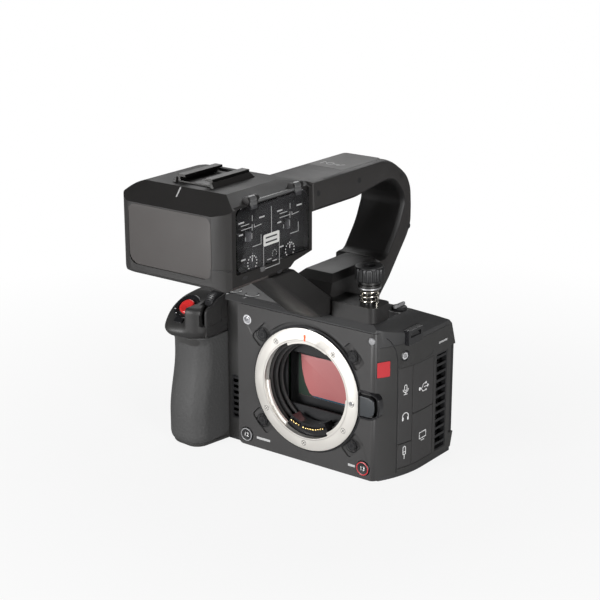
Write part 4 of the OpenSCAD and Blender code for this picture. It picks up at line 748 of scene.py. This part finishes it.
class Side(bpy.types.Operator):
    """Marks on the terminal doors, the round window and the small parts of the side"""
    bl_idname = "cinema.side"
    bl_label = "Terminal side"

    def execute(self, context):
        d = on_side
        lines("door_mark_voice", [arc(0.4, 50.0, 0.8, 0, 180, 9) + arc(0.4, 48.4, 0.8, 180, 360, 9) + [(1.2, 50.0)],
                                  arc(0.4, 48.4, 1.7, 180, 360, 11), [(0.4, 46.6), (0.4, 45.6)],
                                  [(-0.7, 45.6), (1.5, 45.6)]],
              0.4, d)
        lines("door_mark_ears", [arc(0.6, 33.2, 2.0, 0, 180, 11), [(-1.4, 33.2), (-1.4, 31.2)],
                                 [(2.6, 33.2), (2.6, 31.2)],
                                 [(-0.9, 31.3), (-0.9, 32.6)], [(2.1, 31.3), (2.1, 32.6)]], 0.5, d)
        lines("door_mark_plug", [[(0.3, 9.4), (0.3, 11.6)], [(-0.6, 11.8), (1.2, 11.8)], [(-0.6, 11.8), (-0.6, 15.4)],
                                 [(1.2, 11.8), (1.2, 15.4)], arc(0.3, 15.4, 0.9, 0, 180, 7),
                                 [(-0.6, 13.2), (1.2, 13.2)]],
              0.42, d)
        mark("data_dot", disc(11.4, 45.6, 0.9, 16), d)
        mark("data_tip", [(18.4, 44.5), (20.2, 45.6), (18.4, 46.7)], d)
        mark("data_end_dot", disc(17.4, 43.6, 0.6, 16), d)
        mark("data_end_square", rect(16.6, 47.0, 17.8, 48.2), d)
        lines("door_mark_data", [[(11.4, 45.6), (18.6, 45.6)], [(13.2, 45.6), (14.8, 47.6), (16.8, 47.6)],
                                 [(12.6, 45.6), (14.2, 43.6), (16.9, 43.6)]], 0.42, d)
        lines("door_mark_picture", [[(12.0, 17.0), (18.2, 17.0), (18.2, 20.4), (12.0, 20.4), (12.0, 17.0)],
                                    [(13.6, 15.8), (16.6, 15.8)]], 0.45, d)
        lines("panel_seam", [[(-4.9, 2.5), (-4.9, 43.7), (-5.2, 65.9), (-6.4, 71.5), (-9.3, 76.5), (-11.6, 78.6)]],
              0.5, d, "gloss", t=0.03)
        lines("side_mark", [[(29.5, 66.2), (37.2, 66.2)]], 1.0, d, "mark_dim")
        lines("side_line", [[(-4.4, 61.8), (4, 61.8), (12, 61.8), (21.5, 61.8), (24.3, 63.8)]], 0.35, d, "dark")
        middle = np.array([SIDE_X - SIDE_R, SIDE_Y, 66.9])
        out = np.array([50.2, -0.3, 66.9]) - middle
        for name, profile, mat in (
                ("round_rim", [(1.9, 59.9), (3.0, 59.9), (3.0, 60.75), (2.6, 61.0), (2.1, 60.9), (1.9, 60.5),
                               (1.9, 59.9)], "dark"),
                ("round_face", [(0, 59.8), (1.95, 59.8), (1.95, 60.3), (1.0, 60.6), (0, 60.65)], "chrome")):
            ride(turned(name, profile, middle, out, 48), mat=mat)
        return {"FINISHED"}


class Top(bpy.types.Operator):
    """The power lever, the keys and the lines on the top cover"""
    bl_idname = "cinema.top"
    bl_label = "Top cover"

    def execute(self, context):
        c = (35.5, 15.5, 0)
        base = [(0, 82), (2.0, 82), (2.0, 85.7), (4.1, 85.7), (4.2, 85.9), (4.2, 86.7), (3.9, 87.0), (0, 87.05)]
        ride(turned("power_base", base, c, (0, 0, 1), 120, 30, 0.12, slice(3, 6)), "power_switch_body", "power_switch",
             "dark")
        bar = filleted([(34.4, 10.5), (36.6, 10.5), (36.3, 20.5), (34.7, 20.5)], [0.8, 0.8, 0.7, 0.7], 4)
        ride(slab("power_bar", bar, "z", 86.8, 88.5, 0.5), "power_switch_body", mat="grey")
        mark("power_dot", disc(35.5, 12, 0.45, 16), on_z(88.5), "mark", "power_switch_body")
        lines("power_arc", [arc(35.5, 15.5, 6.2, -125, -55, 9)], 0.35, on_z(LID_Z), "mark")
        mark("power_off", disc(31.4, 9.6, 0.5, 16), on_z(LID_Z), "mark")
        mark("power_on", rect(38.9, 9.2, 40.0, 10.3, 0.1), on_z(LID_Z), "mark")
        for k, (x, y) in enumerate(((-53.7, -11.2), (-41.6, -11.2))):
            side = ("left", "right")[k]
            body = "top_button_%s_body" % side
            cap = [(0, 82.8), (3.25, 82.8), (3.3, 85.8), (3.1, 86.1), (2.6, 86.2), (1.6, 86.05), (0, 86.0)]
            ride(turned("top_cap_" + side, cap, (x, y, 0), (0, 0, 1), 56), body, "top_button_" + side,
                 "dim_key")
            # a black ring round each key: its seat, made dark as painted shade of the recess
            ring = [(3.4, 85.4), (3.5, 85.9), (4.2, 85.75), (4.4, 85.4), (3.4, 85.4)]
            ride(turned("top_seat_shade_" + side, ring, (x, y, 0), (0, 0, 1), 56), mat="gloss")
            lettering("top_number_" + side, str(4 + k), 2.6, (x, y - 6.6), on_z(LID_Z), "mark")
        return {"FINISHED"}


class Rear(bpy.types.Operator):
    """The rear controls and the screen's face"""
    bl_idname = "cinema.rear"
    bl_label = "Rear"

    def execute(self, context):
        dress(soften("screen", 0.9, 3, 24), "dark")
        ride(slab("screen_frame", rect(-31.2, 13.6, 43.4, 58.4, 1.6), "y", 48.0, 48.38, 0.1), "screen_body",
             mat="gloss")
        ride(slab("screen_glass", rect(-27.5, 17.0, 39.7, 55.0, 0.8), "y", 48.1, 48.42, 0.05), "screen_body",
             mat="screen_glass")
        dial = [(0, 26), (2, 26), (2, 31.25), (8.6, 31.25), (9, 31.6), (9, 33.2), (8.7, 33.65), (6.2, 33.65),
                (5.9, 33.3), (3.4, 33.3), (3.1, 33.6), (0, 33.65)]
        ride(turned("dial_wheel", dial, (-66, 0, 30), (0, 1, 0), 288, 48, 0.28, slice(4, 7)), "rear_dial_body",
             "rear_dial", "dark")
        stick = [(0, 27.9), (1.4, 27.9), (1.4, 31.3), (3.0, 31.3), (3.2, 31.6), (3.1, 32.2), (2.4, 32.7), (1.2, 32.6),
                 (0, 32.5)]
        ride(turned("stick_cap", stick, (-66, 0, 51), (0, 1, 0), 96, 24, 0.12, slice(3, 6)), "joystick_body",
             "joystick", "dark")
        return {"FINISHED"}


HANDLE_OUT = [(-30, 159.1), (36, 159.1), (45.3, 155.7), (52.4, 151.1), (57.8, 146.9), (61.9, 139.4), (62.7, 129),
              (62.7, 118.9), (59.5, 112.7), (52.2, 104.2), (42.5, 92.7), (31, 80.5)]
HANDLE_IN = [(30, 81), (30, 105.5), (37.8, 105.5), (48.6, 119.1), (54.5, 132), (52.2, 137.2), (45, 144.8),
             (37.5, 146.3), (10.6, 142.8), (-30, 142.8)]


def inside_loop(p):
    """Which points of the loop's outline lie on its inner side: those nearer than the bar's middle line to the hand."""
    y, z = p[:, 0], p[:, 1]
    return np.where(z > 140, (z < 150) & (y < 50), np.abs(y - 30) < np.where(z < 106, 8, 24) * (y < 56))


def handle_half(name, x_mid, x_out, node):
    """One shell: the loop's outline, its outer rim bevelled and its inner rim cut back by a wider slope."""
    radii = [0, 30, 30, 30, 20, 16, 30, 14, 30, 60, 60, 0] + [0, 2, 6, 40, 10, 8, 12, 30, 60, 0]
    p = anticlockwise(filleted(HANDLE_OUT + HANDLE_IN, radii, 5))
    bevel = np.where(inside_loop(p), 1.9, 1.0)
    m = normals2(p)
    s = np.sign(x_out - x_mid)
    rows = [(0, x_mid), (0, x_out - s * 2.6), (0.16, x_out - s * 1.9), (0.62, x_out - s * 0.7), (0.86, x_out - s * 0.2),
            (1.05, x_out)]
    grid = np.array([np.column_stack([np.full(len(p), x), p - m * (bevel * k)[:, None]]) for k, x in rows])
    ob = ride(rings(name, grid, smooth=32, flip=s < 0), stands_for=node, mat="handle")
    # faces of the inner rim take the darker material: painted shade inside the loop
    ob.data.materials.append(material("handle_inner"))
    for f in ob.data.polygons:
        if len(f.vertices) == 4 and all(bevel[v % len(p)] > 1.5 for v in f.vertices):
            f.material_index = 1
    return ob


class Handle(bpy.types.Operator):
    """The handle's two shells, their seam, cap and screws"""
    bl_idname = "cinema.handle"
    bl_label = "Handle"

    def execute(self, context):
        handle_half("handle_right", -2.5, 12, "handle_right_shell")
        handle_half("handle_left", -2.5, -17, "handle_left_shell")
        # the cap's light grey is painted sheen of the top face
        ride(slab("handle_cap", rect(-14.2, 0.6, 9.4, 35.5, 2.2), "z", 158.6, 159.35, 0.25), mat="cap")
        side = on_x(CASE_X)
        for k, (y, z) in enumerate(((-24.5, 152.2), (11.5, 152.2), (51.7, 147.2), (60.0, 117.3))):
            mark("handle_screw_%d" % k, disc(y, z, 1.55, 28), side, "dark", t=0.03)
            mark("handle_screw_head_%d" % k, disc(y, z, 1.0, 24), side, "knurl", t=0.05)
        top = on_z(159.37)
        lines("cap_mark", [arc(-4.6, 8.6, 2.0, 0, 360, 15), [(-2.2, 8.6), (1.2, 8.6)], [(-9.4, 6.4), (-9.4, 10.8)],
                           [(-9.4, 10.8), (-7.4, 9.2)], [(0.8, 6.6), (3.4, 10.4)]], 0.42, top)
        lines("bar_line", [[(8.2, -30), (8.2, -20.5), (10.9, -17.5), (10.9, -2.5)],
                           [(-13.2, -30), (-13.2, -6), (8.4, -6)]],
              0.35, on_z(159.1), "dark", t=0.03)
        return {"FINISHED"}


def grip_section(n, inset=0.0, back=0.0):
    """Support function of the grip's plan in the directions n: the soft maximum over its corner rounds."""
    rounds = ((-71.5, -25.5 + back, 14.0), (-65.5, -31.0 + back, 9.0), (-73.5, 19.0, 12.0), (-57.0, -14.5, 0.8),
              (-57.0, 30.2, 0.8))
    return smax(0.8, *[n[..., 0] * x + n[..., 1] * y + r - inset for x, y, r in rounds])


def waist(z):
    """How far the front is drawn back at height z, for the fingers."""
    z = np.asarray(z, float)
    t = np.clip((z - 16) / 36, 0, 1)
    return 5.2 * np.sin(t * np.pi / 2) ** 2 * (1 - 0.8 * np.clip((z - 57) / 7, 0, 1) ** 2)


def grip_skin(a0, a1, z0, z1, cols, rows):
    """Points of the grip's skin: for each height the boundary of its plan from direction a0 to a1, h n + h' t."""
    z, a = np.meshgrid(np.linspace(z0, z1, rows), np.linspace(a0, a1, cols), indexing="ij")
    e = 1e-3

    def h(a):
        return grip_section(np.stack([np.cos(a), np.sin(a)], -1), toe(z), waist(z))
    h0, dh = h(a), (h(a + e) - h(a - e)) / (2 * e)
    return np.stack([h0 * np.cos(a) - dh * np.sin(a), h0 * np.sin(a) + dh * np.cos(a), z], -1)


def toe(z):
    """The lower rim draws in over the last few millimetres."""
    return 2.0 * np.clip((6 - np.asarray(z, float)) / 6, 0, 1) ** 2


class Grip(bpy.types.Operator):
    """The grip's rubber"""
    bl_idname = "cinema.grip"
    bl_label = "Grip"

    def execute(self, context):
        skin = grip_skin(math.radians(179.5), math.radians(359.5), 2.1, 62.8, 240, 90)
        keep = skin[..., 1] < -9.2
        first = keep.all(0).argmax()
        last = skin.shape[1] - keep.all(0)[::-1].argmax()
        skin = skin[:, first:last]
        n, m = skin.shape[:2]
        ob = put("grip_rubber_skin", skin.reshape(-1, 3), quads(n, m), 60)
        mod = ob.modifiers.new("Thick", "SOLIDIFY")
        mod.thickness, mod.offset = 1.9 * MM, -1
        mod = ob.modifiers.new("Rim", "BEVEL")
        mod.width, mod.segments, mod.limit_method = 0.5 * MM, 2, "ANGLE"
        ride(ob, stands_for="grip_rubber", mat="rubber")
        return {"FINISHED"}


TILT = math.radians(38)
SLOPE = np.array([0, -math.sin(TILT), math.cos(TILT)])
REC = np.array([-72.5, -29.0, 77.0])


def head_field(x, y, z):
    """The grip head: the soft maximum of its walls, its roof, the slanted face and the neck under the rim."""
    left = -(x + 87.2)
    left = smax(3, left, -(x + 87.2) + np.clip((y + 5) / 22, 0, 1) * 1.8)
    right = x + 56.2
    front = -(y + 41.3)
    rear = y - 31.0
    plan = smax(12, left, front)
    plan = smax(9, plan, (x * 0.55 - y * 0.84) - (-65.5 * 0.55 + 31.0 * 0.84) - 10.6)
    plan = smax(10, plan, smax(10, left, rear))
    plan = smax(6, plan, right)
    roof = z - 85.5 + np.clip((y - 12) / 19, 0, 1) * 5.5
    face = (x - REC[0]) * SLOPE[0] + (y - REC[1]) * SLOPE[1] + (z - REC[2]) * SLOPE[2]
    side = -(x + 79.5) * 0.62 + (z - 80.5) * 0.78 - 1.2
    shoulder = smax(2.5, z - 80.6, -(x + 67.0))
    top = smin(2.5, smax(4.5, smax(3.5, roof, face), side), shoulder)
    under = 63.0 - z
    lip = smax(1.5, plan, (plan + 1.9) - (z - 63.0) * 0.75)
    f = smax(3.2, lip, top)
    f = smax(0.5, f, under)
    # the wheel's slot
    w = smax(0.4, np.hypot(y + 19.4, z - 78.8) - 8.4, np.abs(x + 60.6) - 3.0)
    return smax(0.8, f, -w)


def on_slope(a, b, h):
    """Points about the record button: a across, b up the slanted face, h out of it."""
    up = np.array([0, math.cos(TILT), math.sin(TILT)])
    return REC + np.asarray(a)[..., None] * np.array([1.0, 0, 0]) + np.asarray(b)[..., None] * up \
        + np.asarray(h)[..., None] * SLOPE


class GripHead(bpy.types.Operator):
    """The head of the grip with its record button, zoom ring and wheel"""
    bl_idname = "cinema.griphead"
    bl_label = "Grip head"

    def execute(self, context):
        head = star("grip_head_shell", head_field, (-71, -8, 73), 180, 300, 70)
        ride(head, stands_for="grip_head", mat="head")
        cheek = filleted([(-33, 63.4), (30.6, 63.4), (30.2, 79), (12, 85.2), (-12, 85.2), (-22, 83.4), (-27, 80.4),
                          (-33, 79.4)], [0.5, 1, 3, 8, 8, 5, 5, 3], 5)
        ride(slab("grip_head_cheek", cheek, "x", -57.9, -56.4, 0.6), mat="head")
        ride(slab("record_pad", disc(0, 0, 1, 64) * (9.6, 10.4) + (0.0, -1.6), "z", -2.5, -0.35, 0.3, place=on_slope),
             mat="gloss")
        out = 1.9
        ride(turned("record_button", [(0, -3), (4.45, -3), (4.5, out * 0.45), (4.42, out * 0.68), (4.15, out * 0.85),
                                      (3.6, out * 0.93), (2.6, out * 0.84), (1.3, out * 0.74), (0.05, out * 0.72)],
                    REC, SLOPE, 72), "rec_button_body", "rec_button", "red")
        ride(turned("zoom_ring", [(5.65, -2.3), (8.2, -2.3), (8.4, -2.0), (8.4, 0.15), (8.25, 0.6), (7.7, 0.95),
                                  (6.5, 0.95), (5.9, 0.7), (5.65, 0.3), (5.65, -2.3)],
                    REC, SLOPE, 180, 44, 0.22, slice(2, 5)), "zoom_lever_body", "zoom_lever", "gloss")
        ride(slab("zoom_tab", filleted([(-2.6, -10.9), (2.6, -10.9), (3.2, -7.4), (-3.2, -7.4)], 1.0), "z", -0.1, 0.95,
                  0.3, place=on_slope), "zoom_lever_body", mat="gloss")
        for k, t in enumerate((205, 232, 308, 335)):
            t = math.radians(t)
            u = np.array([math.cos(t), math.sin(t)])
            v = np.array([-u[1], u[0]])
            p = [u * 6.6 - v * 0.2, u * 7.5 - v * 0.2, u * 7.5 + v * 0.2, u * 6.6 + v * 0.2]
            mark("zoom_tick_%d" % k, p, lambda a, b, h: on_slope(a, b, h + 0.95), "mark", "zoom_lever_body", 0.03)
        wheel = [(1.6, 0), (6.6, 0), (7.2, 0.25), (7.5, 0.7), (7.5, 4.3), (7.2, 4.75), (6.6, 5), (4.8, 5), (4.2, 4.7),
                 (1.6, 4.7), (1.6, 0)]
        ride(turned("wheel", wheel, (-63.1, -19.4, 78.8), (1, 0, 0), 240, 40, 0.35, slice(2, 6)),
             "front_wheel_body", "front_wheel", "dark")
        return {"FINISHED"}


SCREW = np.array([32.0, -7.5, 0.0])


class Thumbscrew(bpy.types.Operator):
    """The knurled thumbscrew with its spring"""
    bl_idname = "cinema.thumbscrew"
    bl_label = "Thumbscrew"

    def execute(self, context):
        r = 7.6
        knob = [(0.05, 106.45), (6.6, 106.45), (7.2, 106.6), (r, 107.1), (r, 112.6), (7.45, 113.2), (7.1, 113.35),
                (7.1, 113.6), (7.45, 113.75), (7.3, 114.1), (6.6, 114.25), (3.4, 114.25), (3.2, 114.1), (3.2, 111.6),
                (0.05, 111.6)]
        ride(turned("thumbscrew_knob", knob, SCREW, (0, 0, 1), 264, 22, 0.5, slice(2, 6)),
             "thumbscrew_body", "thumbscrew", "knurl")
        collar = [(0.05, 85.75), (3, 85.75), (3, 103.25), (5.8, 103.25), (6, 103.5), (6, 104.6), (5.6, 105),
                  (5.6, 106.5), (0.05, 106.5)]
        ride(turned("thumbscrew_collar", collar, SCREW, (0, 0, 1), 64), "thumbscrew_body", mat="shoe")
        ride(turned("thumbscrew_thread", [(0.05, 82), (2.4, 82), (2.4, 85.8), (0.05, 85.8)], SCREW, (0, 0, 1), 40),
             "thumbscrew_body", mat="steel")
        z0, z1, wire, turns = 94.05, 102.45, 0.55, 3.5
        t = np.linspace(0, 1, 240)
        rise = np.clip((t * 1.16 - 0.08), 0, 1)
        z = z0 + wire + (z1 - z0 - 2 * wire) * rise
        a = t * 2 * np.pi * turns
        path = np.column_stack([SCREW[0] + 4.6 * np.cos(a), SCREW[1] + 4.6 * np.sin(a), z])
        coil = tube("thumbscrew_coil", path, wire, 14)
        dress(coil, "spring")
        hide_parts("thumbscrew_spring")
        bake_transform(coil)
        return {"FINISHED"}


LEVEL = {"front": (-75.4, 129.308), "rear": (-45.6, 129.308)}
KNOBS = ((-78.4, "front"), (-48.6, "rear"))


def on_crest(a, b, h):
    """Marks drawn as (x, y) on the audio unit's top, which falls away in front of y = -84.7."""
    return np.stack([a, b, 162.0 + np.minimum(b + 84.7, 0) * 0.6406 + h], -1)


class AudioUnit(bpy.types.Operator):
    """The audio unit's case, fascia, clear cover, controls and shoe"""
    bl_idname = "cinema.audiounit"
    bl_label = "Audio unit"

    def execute(self, context):
        dress(soften("audio_box", 2.2, 5, 24), "box")
        face = filleted([(-49.85, 122.65), (2.45, 122.65), (2.45, 153.15), (-49.85, 153.15)], [6, 2.5, 3, 3], 8)
        ride(slab("fascia", face, "y", -97.45, -96.4, 0.25),
             stands_for="audio_fascia", mat="fascia")
        lines("fascia_seam", [[(-49.6, 124.6), (-46.6, 121.5), (1.0, 121.5), (2.0, 127.8), (9.4, 128.4)]], 0.3,
              on_y(-97.45), "dark", t=0.03)
        lines("case_seam", [[(-97.0, 128.4), (-92.4, 127.9)]], 0.3, on_x(11.95), "dark", t=0.06)
        lines("height_mark", [[(-26.2, -85.4), (-24.6, -90.2)]], 0.8, on_crest, "mark_dim", t=0.12)
        lid = rect(-90.1, 125.4, -32.9, 156.8, 4.2, 8)
        ride(slab("clear_lid", lid, "x", 10.8, 12.0, 0.25), "audio_cover_body", "audio_cover", "clear")
        for k, y in enumerate((-76.4, -41.2)):
            ride(turned("lid_knuckle_%d" % k, [(0.8, -2.5), (1.7, -2.5), (2, -2.2), (2, 2.2), (1.7, 2.5), (0.8, 2.5),
                                                (0.8, -2.5)], (9.9, y, 159.2), (0, 1, 0), 40),
                 "audio_cover_body", mat="smoke")
            ride(slab("lid_ear_%d" % k, rect(y - 2.5, 154.6, y + 2.5, 158.6, 0.8), "x", 10.8, 11.95, 0.2),
                 "audio_cover_body", mat="smoke")
        p, b = on_x(CASE_X), "audio_cover_body"
        for y, name in KNOBS:
            o = y + 78.4
            lines("flow_" + name, [[(-78.1 + o, 152.0), (-78.1 + o, 149.4)], [(-86.4 + o, 146.4), (-78.6 + o, 146.4)],
                                   [(-86.4 + o, 148.4), (-80.6 + o, 148.4)], [(-78.2 + o, 147.6), (-78.2 + o, 144.8)],
                                   [(-76.6 + o, 147.4), (-76.6 + o, 146.0), (-71.2 + o, 146.4)],
                                   [(-78.5 + o, 143.3), (-78.5 + o, 140.8)], [(-83.4 + o, 142.2), (-83.4 + o, 140.6)],
                                   [(-77.8 + o, 136.6), (-71.4 + o, 136.6), (-71.4 + o, 141.2)]], 0.36, p, "mark_dim", b)
            lines("words_" + name, [[(-88.2 + o, 150.0), (-84.6 + o, 150.0)], [(-72.4 + o, 149.8), (-68.9 + o, 149.8)],
                                    [(-88.0 + o, 144.2), (-85.6 + o, 144.2)], [(-86.6 + o, 131.6), (-83.8 + o, 131.6)]],
                  0.75, p, "mark_dim", b)
            lines("dots_" + name, [[q, (q[0] + 0.05, q[1])] for q in arc(y, 128.7, 3.5, -40, 220, 11)], 0.62, p,
                  "mark", b)
            lines("point_" + name, [[(y, 129.6), (y, 131.0)]], 0.5, p, "mark", b)
            knob = [(0, 6.8), (3.8, 6.8), (3.8, 9.0), (3.5, 9.5), (2.9, 9.6), (0, 9.5)]
            ride(turned("level_wheel_" + name, knob, (0, LEVEL[name][0], LEVEL[name][1]), (1, 0, 0), 140, 28, 0.14,
                        slice(1, 4)), "level_knob_%s_body" % name, "level_knob_" + name, "dark")
            lines("level_line_" + name, [[(LEVEL[name][0], LEVEL[name][1] + 1), (LEVEL[name][0], LEVEL[name][1] + 3.2)]],
                  0.5, on_x(9.52), "mark", "level_knob_%s_body" % name)
        lines("panel_middle", [[(-63.2, 153.4), (-63.2, 140.4)]], 0.36, p, "mark_dim", b)
        mark("label_top", rect(-69.6, 134.6, -57.0, 140.4, 0.8), p, "label", b)
        lines("label_edge", [[(-69.5, 134.6), (-69.5, 123.4), (-57.1, 123.4), (-57.1, 134.6)]], 0.32, p, "mark_dim", b)
        lines("label_words", [[(-67.6, 138.6), (-59.2, 138.6)], [(-67.6, 136.3), (-59.2, 136.3)]], 0.8, on_x(12.06),
              "dark", b)
        lines("label_dial", [[q, (q[0] + 0.05, q[1])] for q in arc(-61.0, 129.6, 1.7, -30, 210, 7)]
              + [[(-66.6, 127.4), (-63.6, 127.4)], [(-62.4, 126.0), (-59.4, 126.0)]], 0.5, p, "mark_dim", b)
        ride(slab("lid_latch", rect(-72.4, 122.6, -68.8, 125.2, 0.8), "x", 11.4, 12.6, 0.3), b,
             mat="smoke")
        ride(slab("lid_bar", rect(-73.2, 157.6, -44.4, 159.0, 0.6), "x", 10.6, 12.0, 0.3), mat="smoke")
        for k, (y, z) in enumerate(((-84.0, 122.6), (-57.0, 119.2))):
            mark("case_slot_%d" % k, disc(0, 0, 1, 24) * (2.1, 0.9) + (y, z), p, "gloss", t=0.04)
        for k, (x, y) in enumerate(((-17.6, -56.0), (-28.4, -56.0))):
            small_screw("shoe_screw_%d" % k, x, y, 1.0, on_z(163.05), "steel")
        return {"FINISHED"}


# the photographer's place, solved from the photograph: turn and height in degrees, and the lens in metres
VIEW_ANGLES = (36.67434265, 17.75202961)
VIEW_AT = (0.45229, -0.63137, 0.33618)


class Studio(bpy.types.Operator):
    """Pale floor, soft lamps, surround and the camera"""
    bl_idname = "cinema.studio"
    bl_label = "Studio"

    def execute(self, context):
        scene = bpy.context.scene
        s = studio()
        scene.view_settings.view_transform = "Standard"
        floor = put("floor", [(-6000, -6000, -0.1), (6000, -6000, -0.1), (6000, 6000, -0.1), (-6000, 6000, -0.1)],
                    [[0, 1, 2, 3]])
        floor.data.materials.append(floor_material())
        world = bpy.data.worlds.new("surround")
        scene.world = world
        world.use_nodes = True
        t = world.node_tree
        t.nodes.clear()
        path = t.nodes.new("ShaderNodeLightPath")
        seen = maximum(t, path.outputs["Is Camera Ray"], path.outputs["Is Transmission Ray"])
        dark, white = t.nodes.new("ShaderNodeBackground"), t.nodes.new("ShaderNodeBackground")
        link(t, surround(t, s.world), dark.inputs["Strength"])
        mix, out = t.nodes.new("ShaderNodeMixShader"), t.nodes.new("ShaderNodeOutputWorld")
        link(t, seen, mix.inputs[0])
        link(t, dark.outputs[0], mix.inputs[1])
        link(t, white.outputs[0], mix.inputs[2])
        link(t, mix.outputs[0], out.inputs[0])
        lamp("key", (-0.45, -1.25, 0.32), (0.6, 0.5), s.key)
        lamp("top", (-0.45, 0.75, 0.75), (0.8, 0.6), s.key * 0.14)
        lamp("side", (1.05, -0.50, 0.25), (0.4, 0.7), s.key * 0.7)
        data = bpy.data.cameras.new("camera")
        cam = bpy.data.objects.new("camera", data)
        scene.collection.objects.link(cam)
        data.sensor_width, data.lens, data.clip_start, data.clip_end = 36, s.focal, 0.01, 30
        from mathutils import Matrix, Vector
        yaw, pitch = (math.radians(angle) for angle in VIEW_ANGLES)
        back = Vector((math.sin(yaw) * math.cos(pitch), -math.cos(yaw) * math.cos(pitch), math.sin(pitch)))
        right = Vector((math.cos(yaw), math.sin(yaw), 0))
        m = Matrix((right, back.cross(right), back)).transposed().to_4x4()
        m.translation = Vector(VIEW_AT)
        cam.matrix_world = m
        scene.camera = cam
        return {"FINISHED"}


def surround(tree, low):
    """Brightness of the surround: white behind and above the object, low on the photographer's side."""
    co = tree.nodes.new("ShaderNodeTexCoord")
    dot = tree.nodes.new("ShaderNodeVectorMath")
    dot.operation = "DOT_PRODUCT"
    dot.inputs[1].default_value = (-0.60, 0.78, -0.17)
    link(tree, co.outputs["Generated"], dot.inputs[0])
    ramp = tree.nodes.new("ShaderNodeMapRange")
    ramp.interpolation_type = "SMOOTHSTEP"
    for key, value in (("From Min", 0.35), ("From Max", 1.0), ("To Min", low), ("To Max", 0.2)):
        ramp.inputs[key].default_value = value
    link(tree, dot.outputs["Value"], ramp.inputs["Value"])
    return ramp.outputs["Result"]


def maximum(tree, *values):
    """The largest of some 0 or 1 values."""
    out = values[0]
    for v in values[1:]:
        n = tree.nodes.new("ShaderNodeMath")
        n.operation = "MAXIMUM"
        link(tree, out, n.inputs[0])
        link(tree, v, n.inputs[1])
        out = n.outputs[0]
    return out


def floor_material():
    """White to the camera and in glass, with the object's shadow left to the light bounced from it."""
    mat = bpy.data.materials.new("floor")
    mat.use_nodes = True
    t = mat.node_tree
    p = t.nodes["Principled BSDF"]
    p.inputs["Base Color"].default_value = (0.5, 0.5, 0.5, 1)
    p.inputs["Roughness"].default_value = 0.9
    glow, mix, path, co, length, fade = [t.nodes.new("ShaderNode" + kind) for kind in (
        "Emission", "MixShader", "LightPath", "TexCoord", "VectorMath", "MapRange")]
    length.operation = "LENGTH"
    link(t, co.outputs["Object"], length.inputs[0])
    link(t, length.outputs["Value"], fade.inputs["Value"])
    for key, value in (("From Min", 0.12), ("From Max", 0.4), ("To Min", 0.88), ("To Max", 1.0)):
        fade.inputs[key].default_value = value
    both = t.nodes.new("ShaderNodeMath")
    both.operation = "MULTIPLY"
    link(t, fade.outputs["Result"], both.inputs[0])
    link(t, maximum(t, path.outputs["Is Camera Ray"], path.outputs["Is Transmission Ray"]), both.inputs[1])
    link(t, both.outputs[0], mix.inputs[0])
    link(t, p.outputs[0], mix.inputs[1])
    link(t, glow.outputs[0], mix.inputs[2])
    link(t, mix.outputs[0], t.nodes["Material Output"].inputs[0])
    return mat


def lamp(name, at, size, power):
    """A soft rectangular lamp that faces the middle of the camera."""
    from mathutils import Vector
    data = bpy.data.lights.new(name, "AREA")
    data.shape, data.size, data.size_y, data.energy = "RECTANGLE", size[0], size[1], power
    ob = bpy.data.objects.new(name, data)
    bpy.context.scene.collection.objects.link(ob)
    ob.location = at
    ob.rotation_mode = "QUATERNION"
    ob.rotation_quaternion = (Vector((-0.01, -0.02, 0.08)) - Vector(at)).to_track_quat("-Z", "Y")


class CameraPanel(bpy.types.Panel):
    """Lists the camera's settings and the pieces that can be built"""
    bl_idname = "VIEW3D_PT_cinema"
    bl_label = "Cinema camera"
    bl_space_type = "VIEW_3D"
    bl_region_type = "UI"
    bl_category = "Cinema camera"

    def draw(self, context):
        for group_name in ("camera_looks", "studio_looks"):
            group_data = getattr(context.scene, group_name)
            for prop in group_data.bl_rna.properties:
                if prop.identifier not in ("rna_type", "name"):
                    self.layout.prop(group_data, prop.identifier)
        for op in BUILD:
            self.layout.operator(op.bl_idname)


BUILD = (Casing, Mount, Plate, Side, Top, Rear, Handle, Grip, GripHead, Thumbscrew, AudioUnit, Studio)
CLASSES = (CameraLooks, StudioLooks, *BUILD, CameraPanel)


def register():
    for cls in CLASSES:
        bpy.utils.register_class(cls)
    bpy.types.Scene.camera_looks = bpy.props.PointerProperty(type=CameraLooks)
    bpy.types.Scene.studio_looks = bpy.props.PointerProperty(type=StudioLooks)


def unregister():
    del bpy.types.Scene.camera_looks, bpy.types.Scene.studio_looks
    for cls in reversed(CLASSES):
        bpy.utils.unregister_class(cls)


def main():
    """Builds every piece and the studio."""
    register()
    for op in BUILD:
        module, name = op.bl_idname.split(".")
        getattr(getattr(bpy.ops, module), name)()


if __name__ == "__main__":
    main()
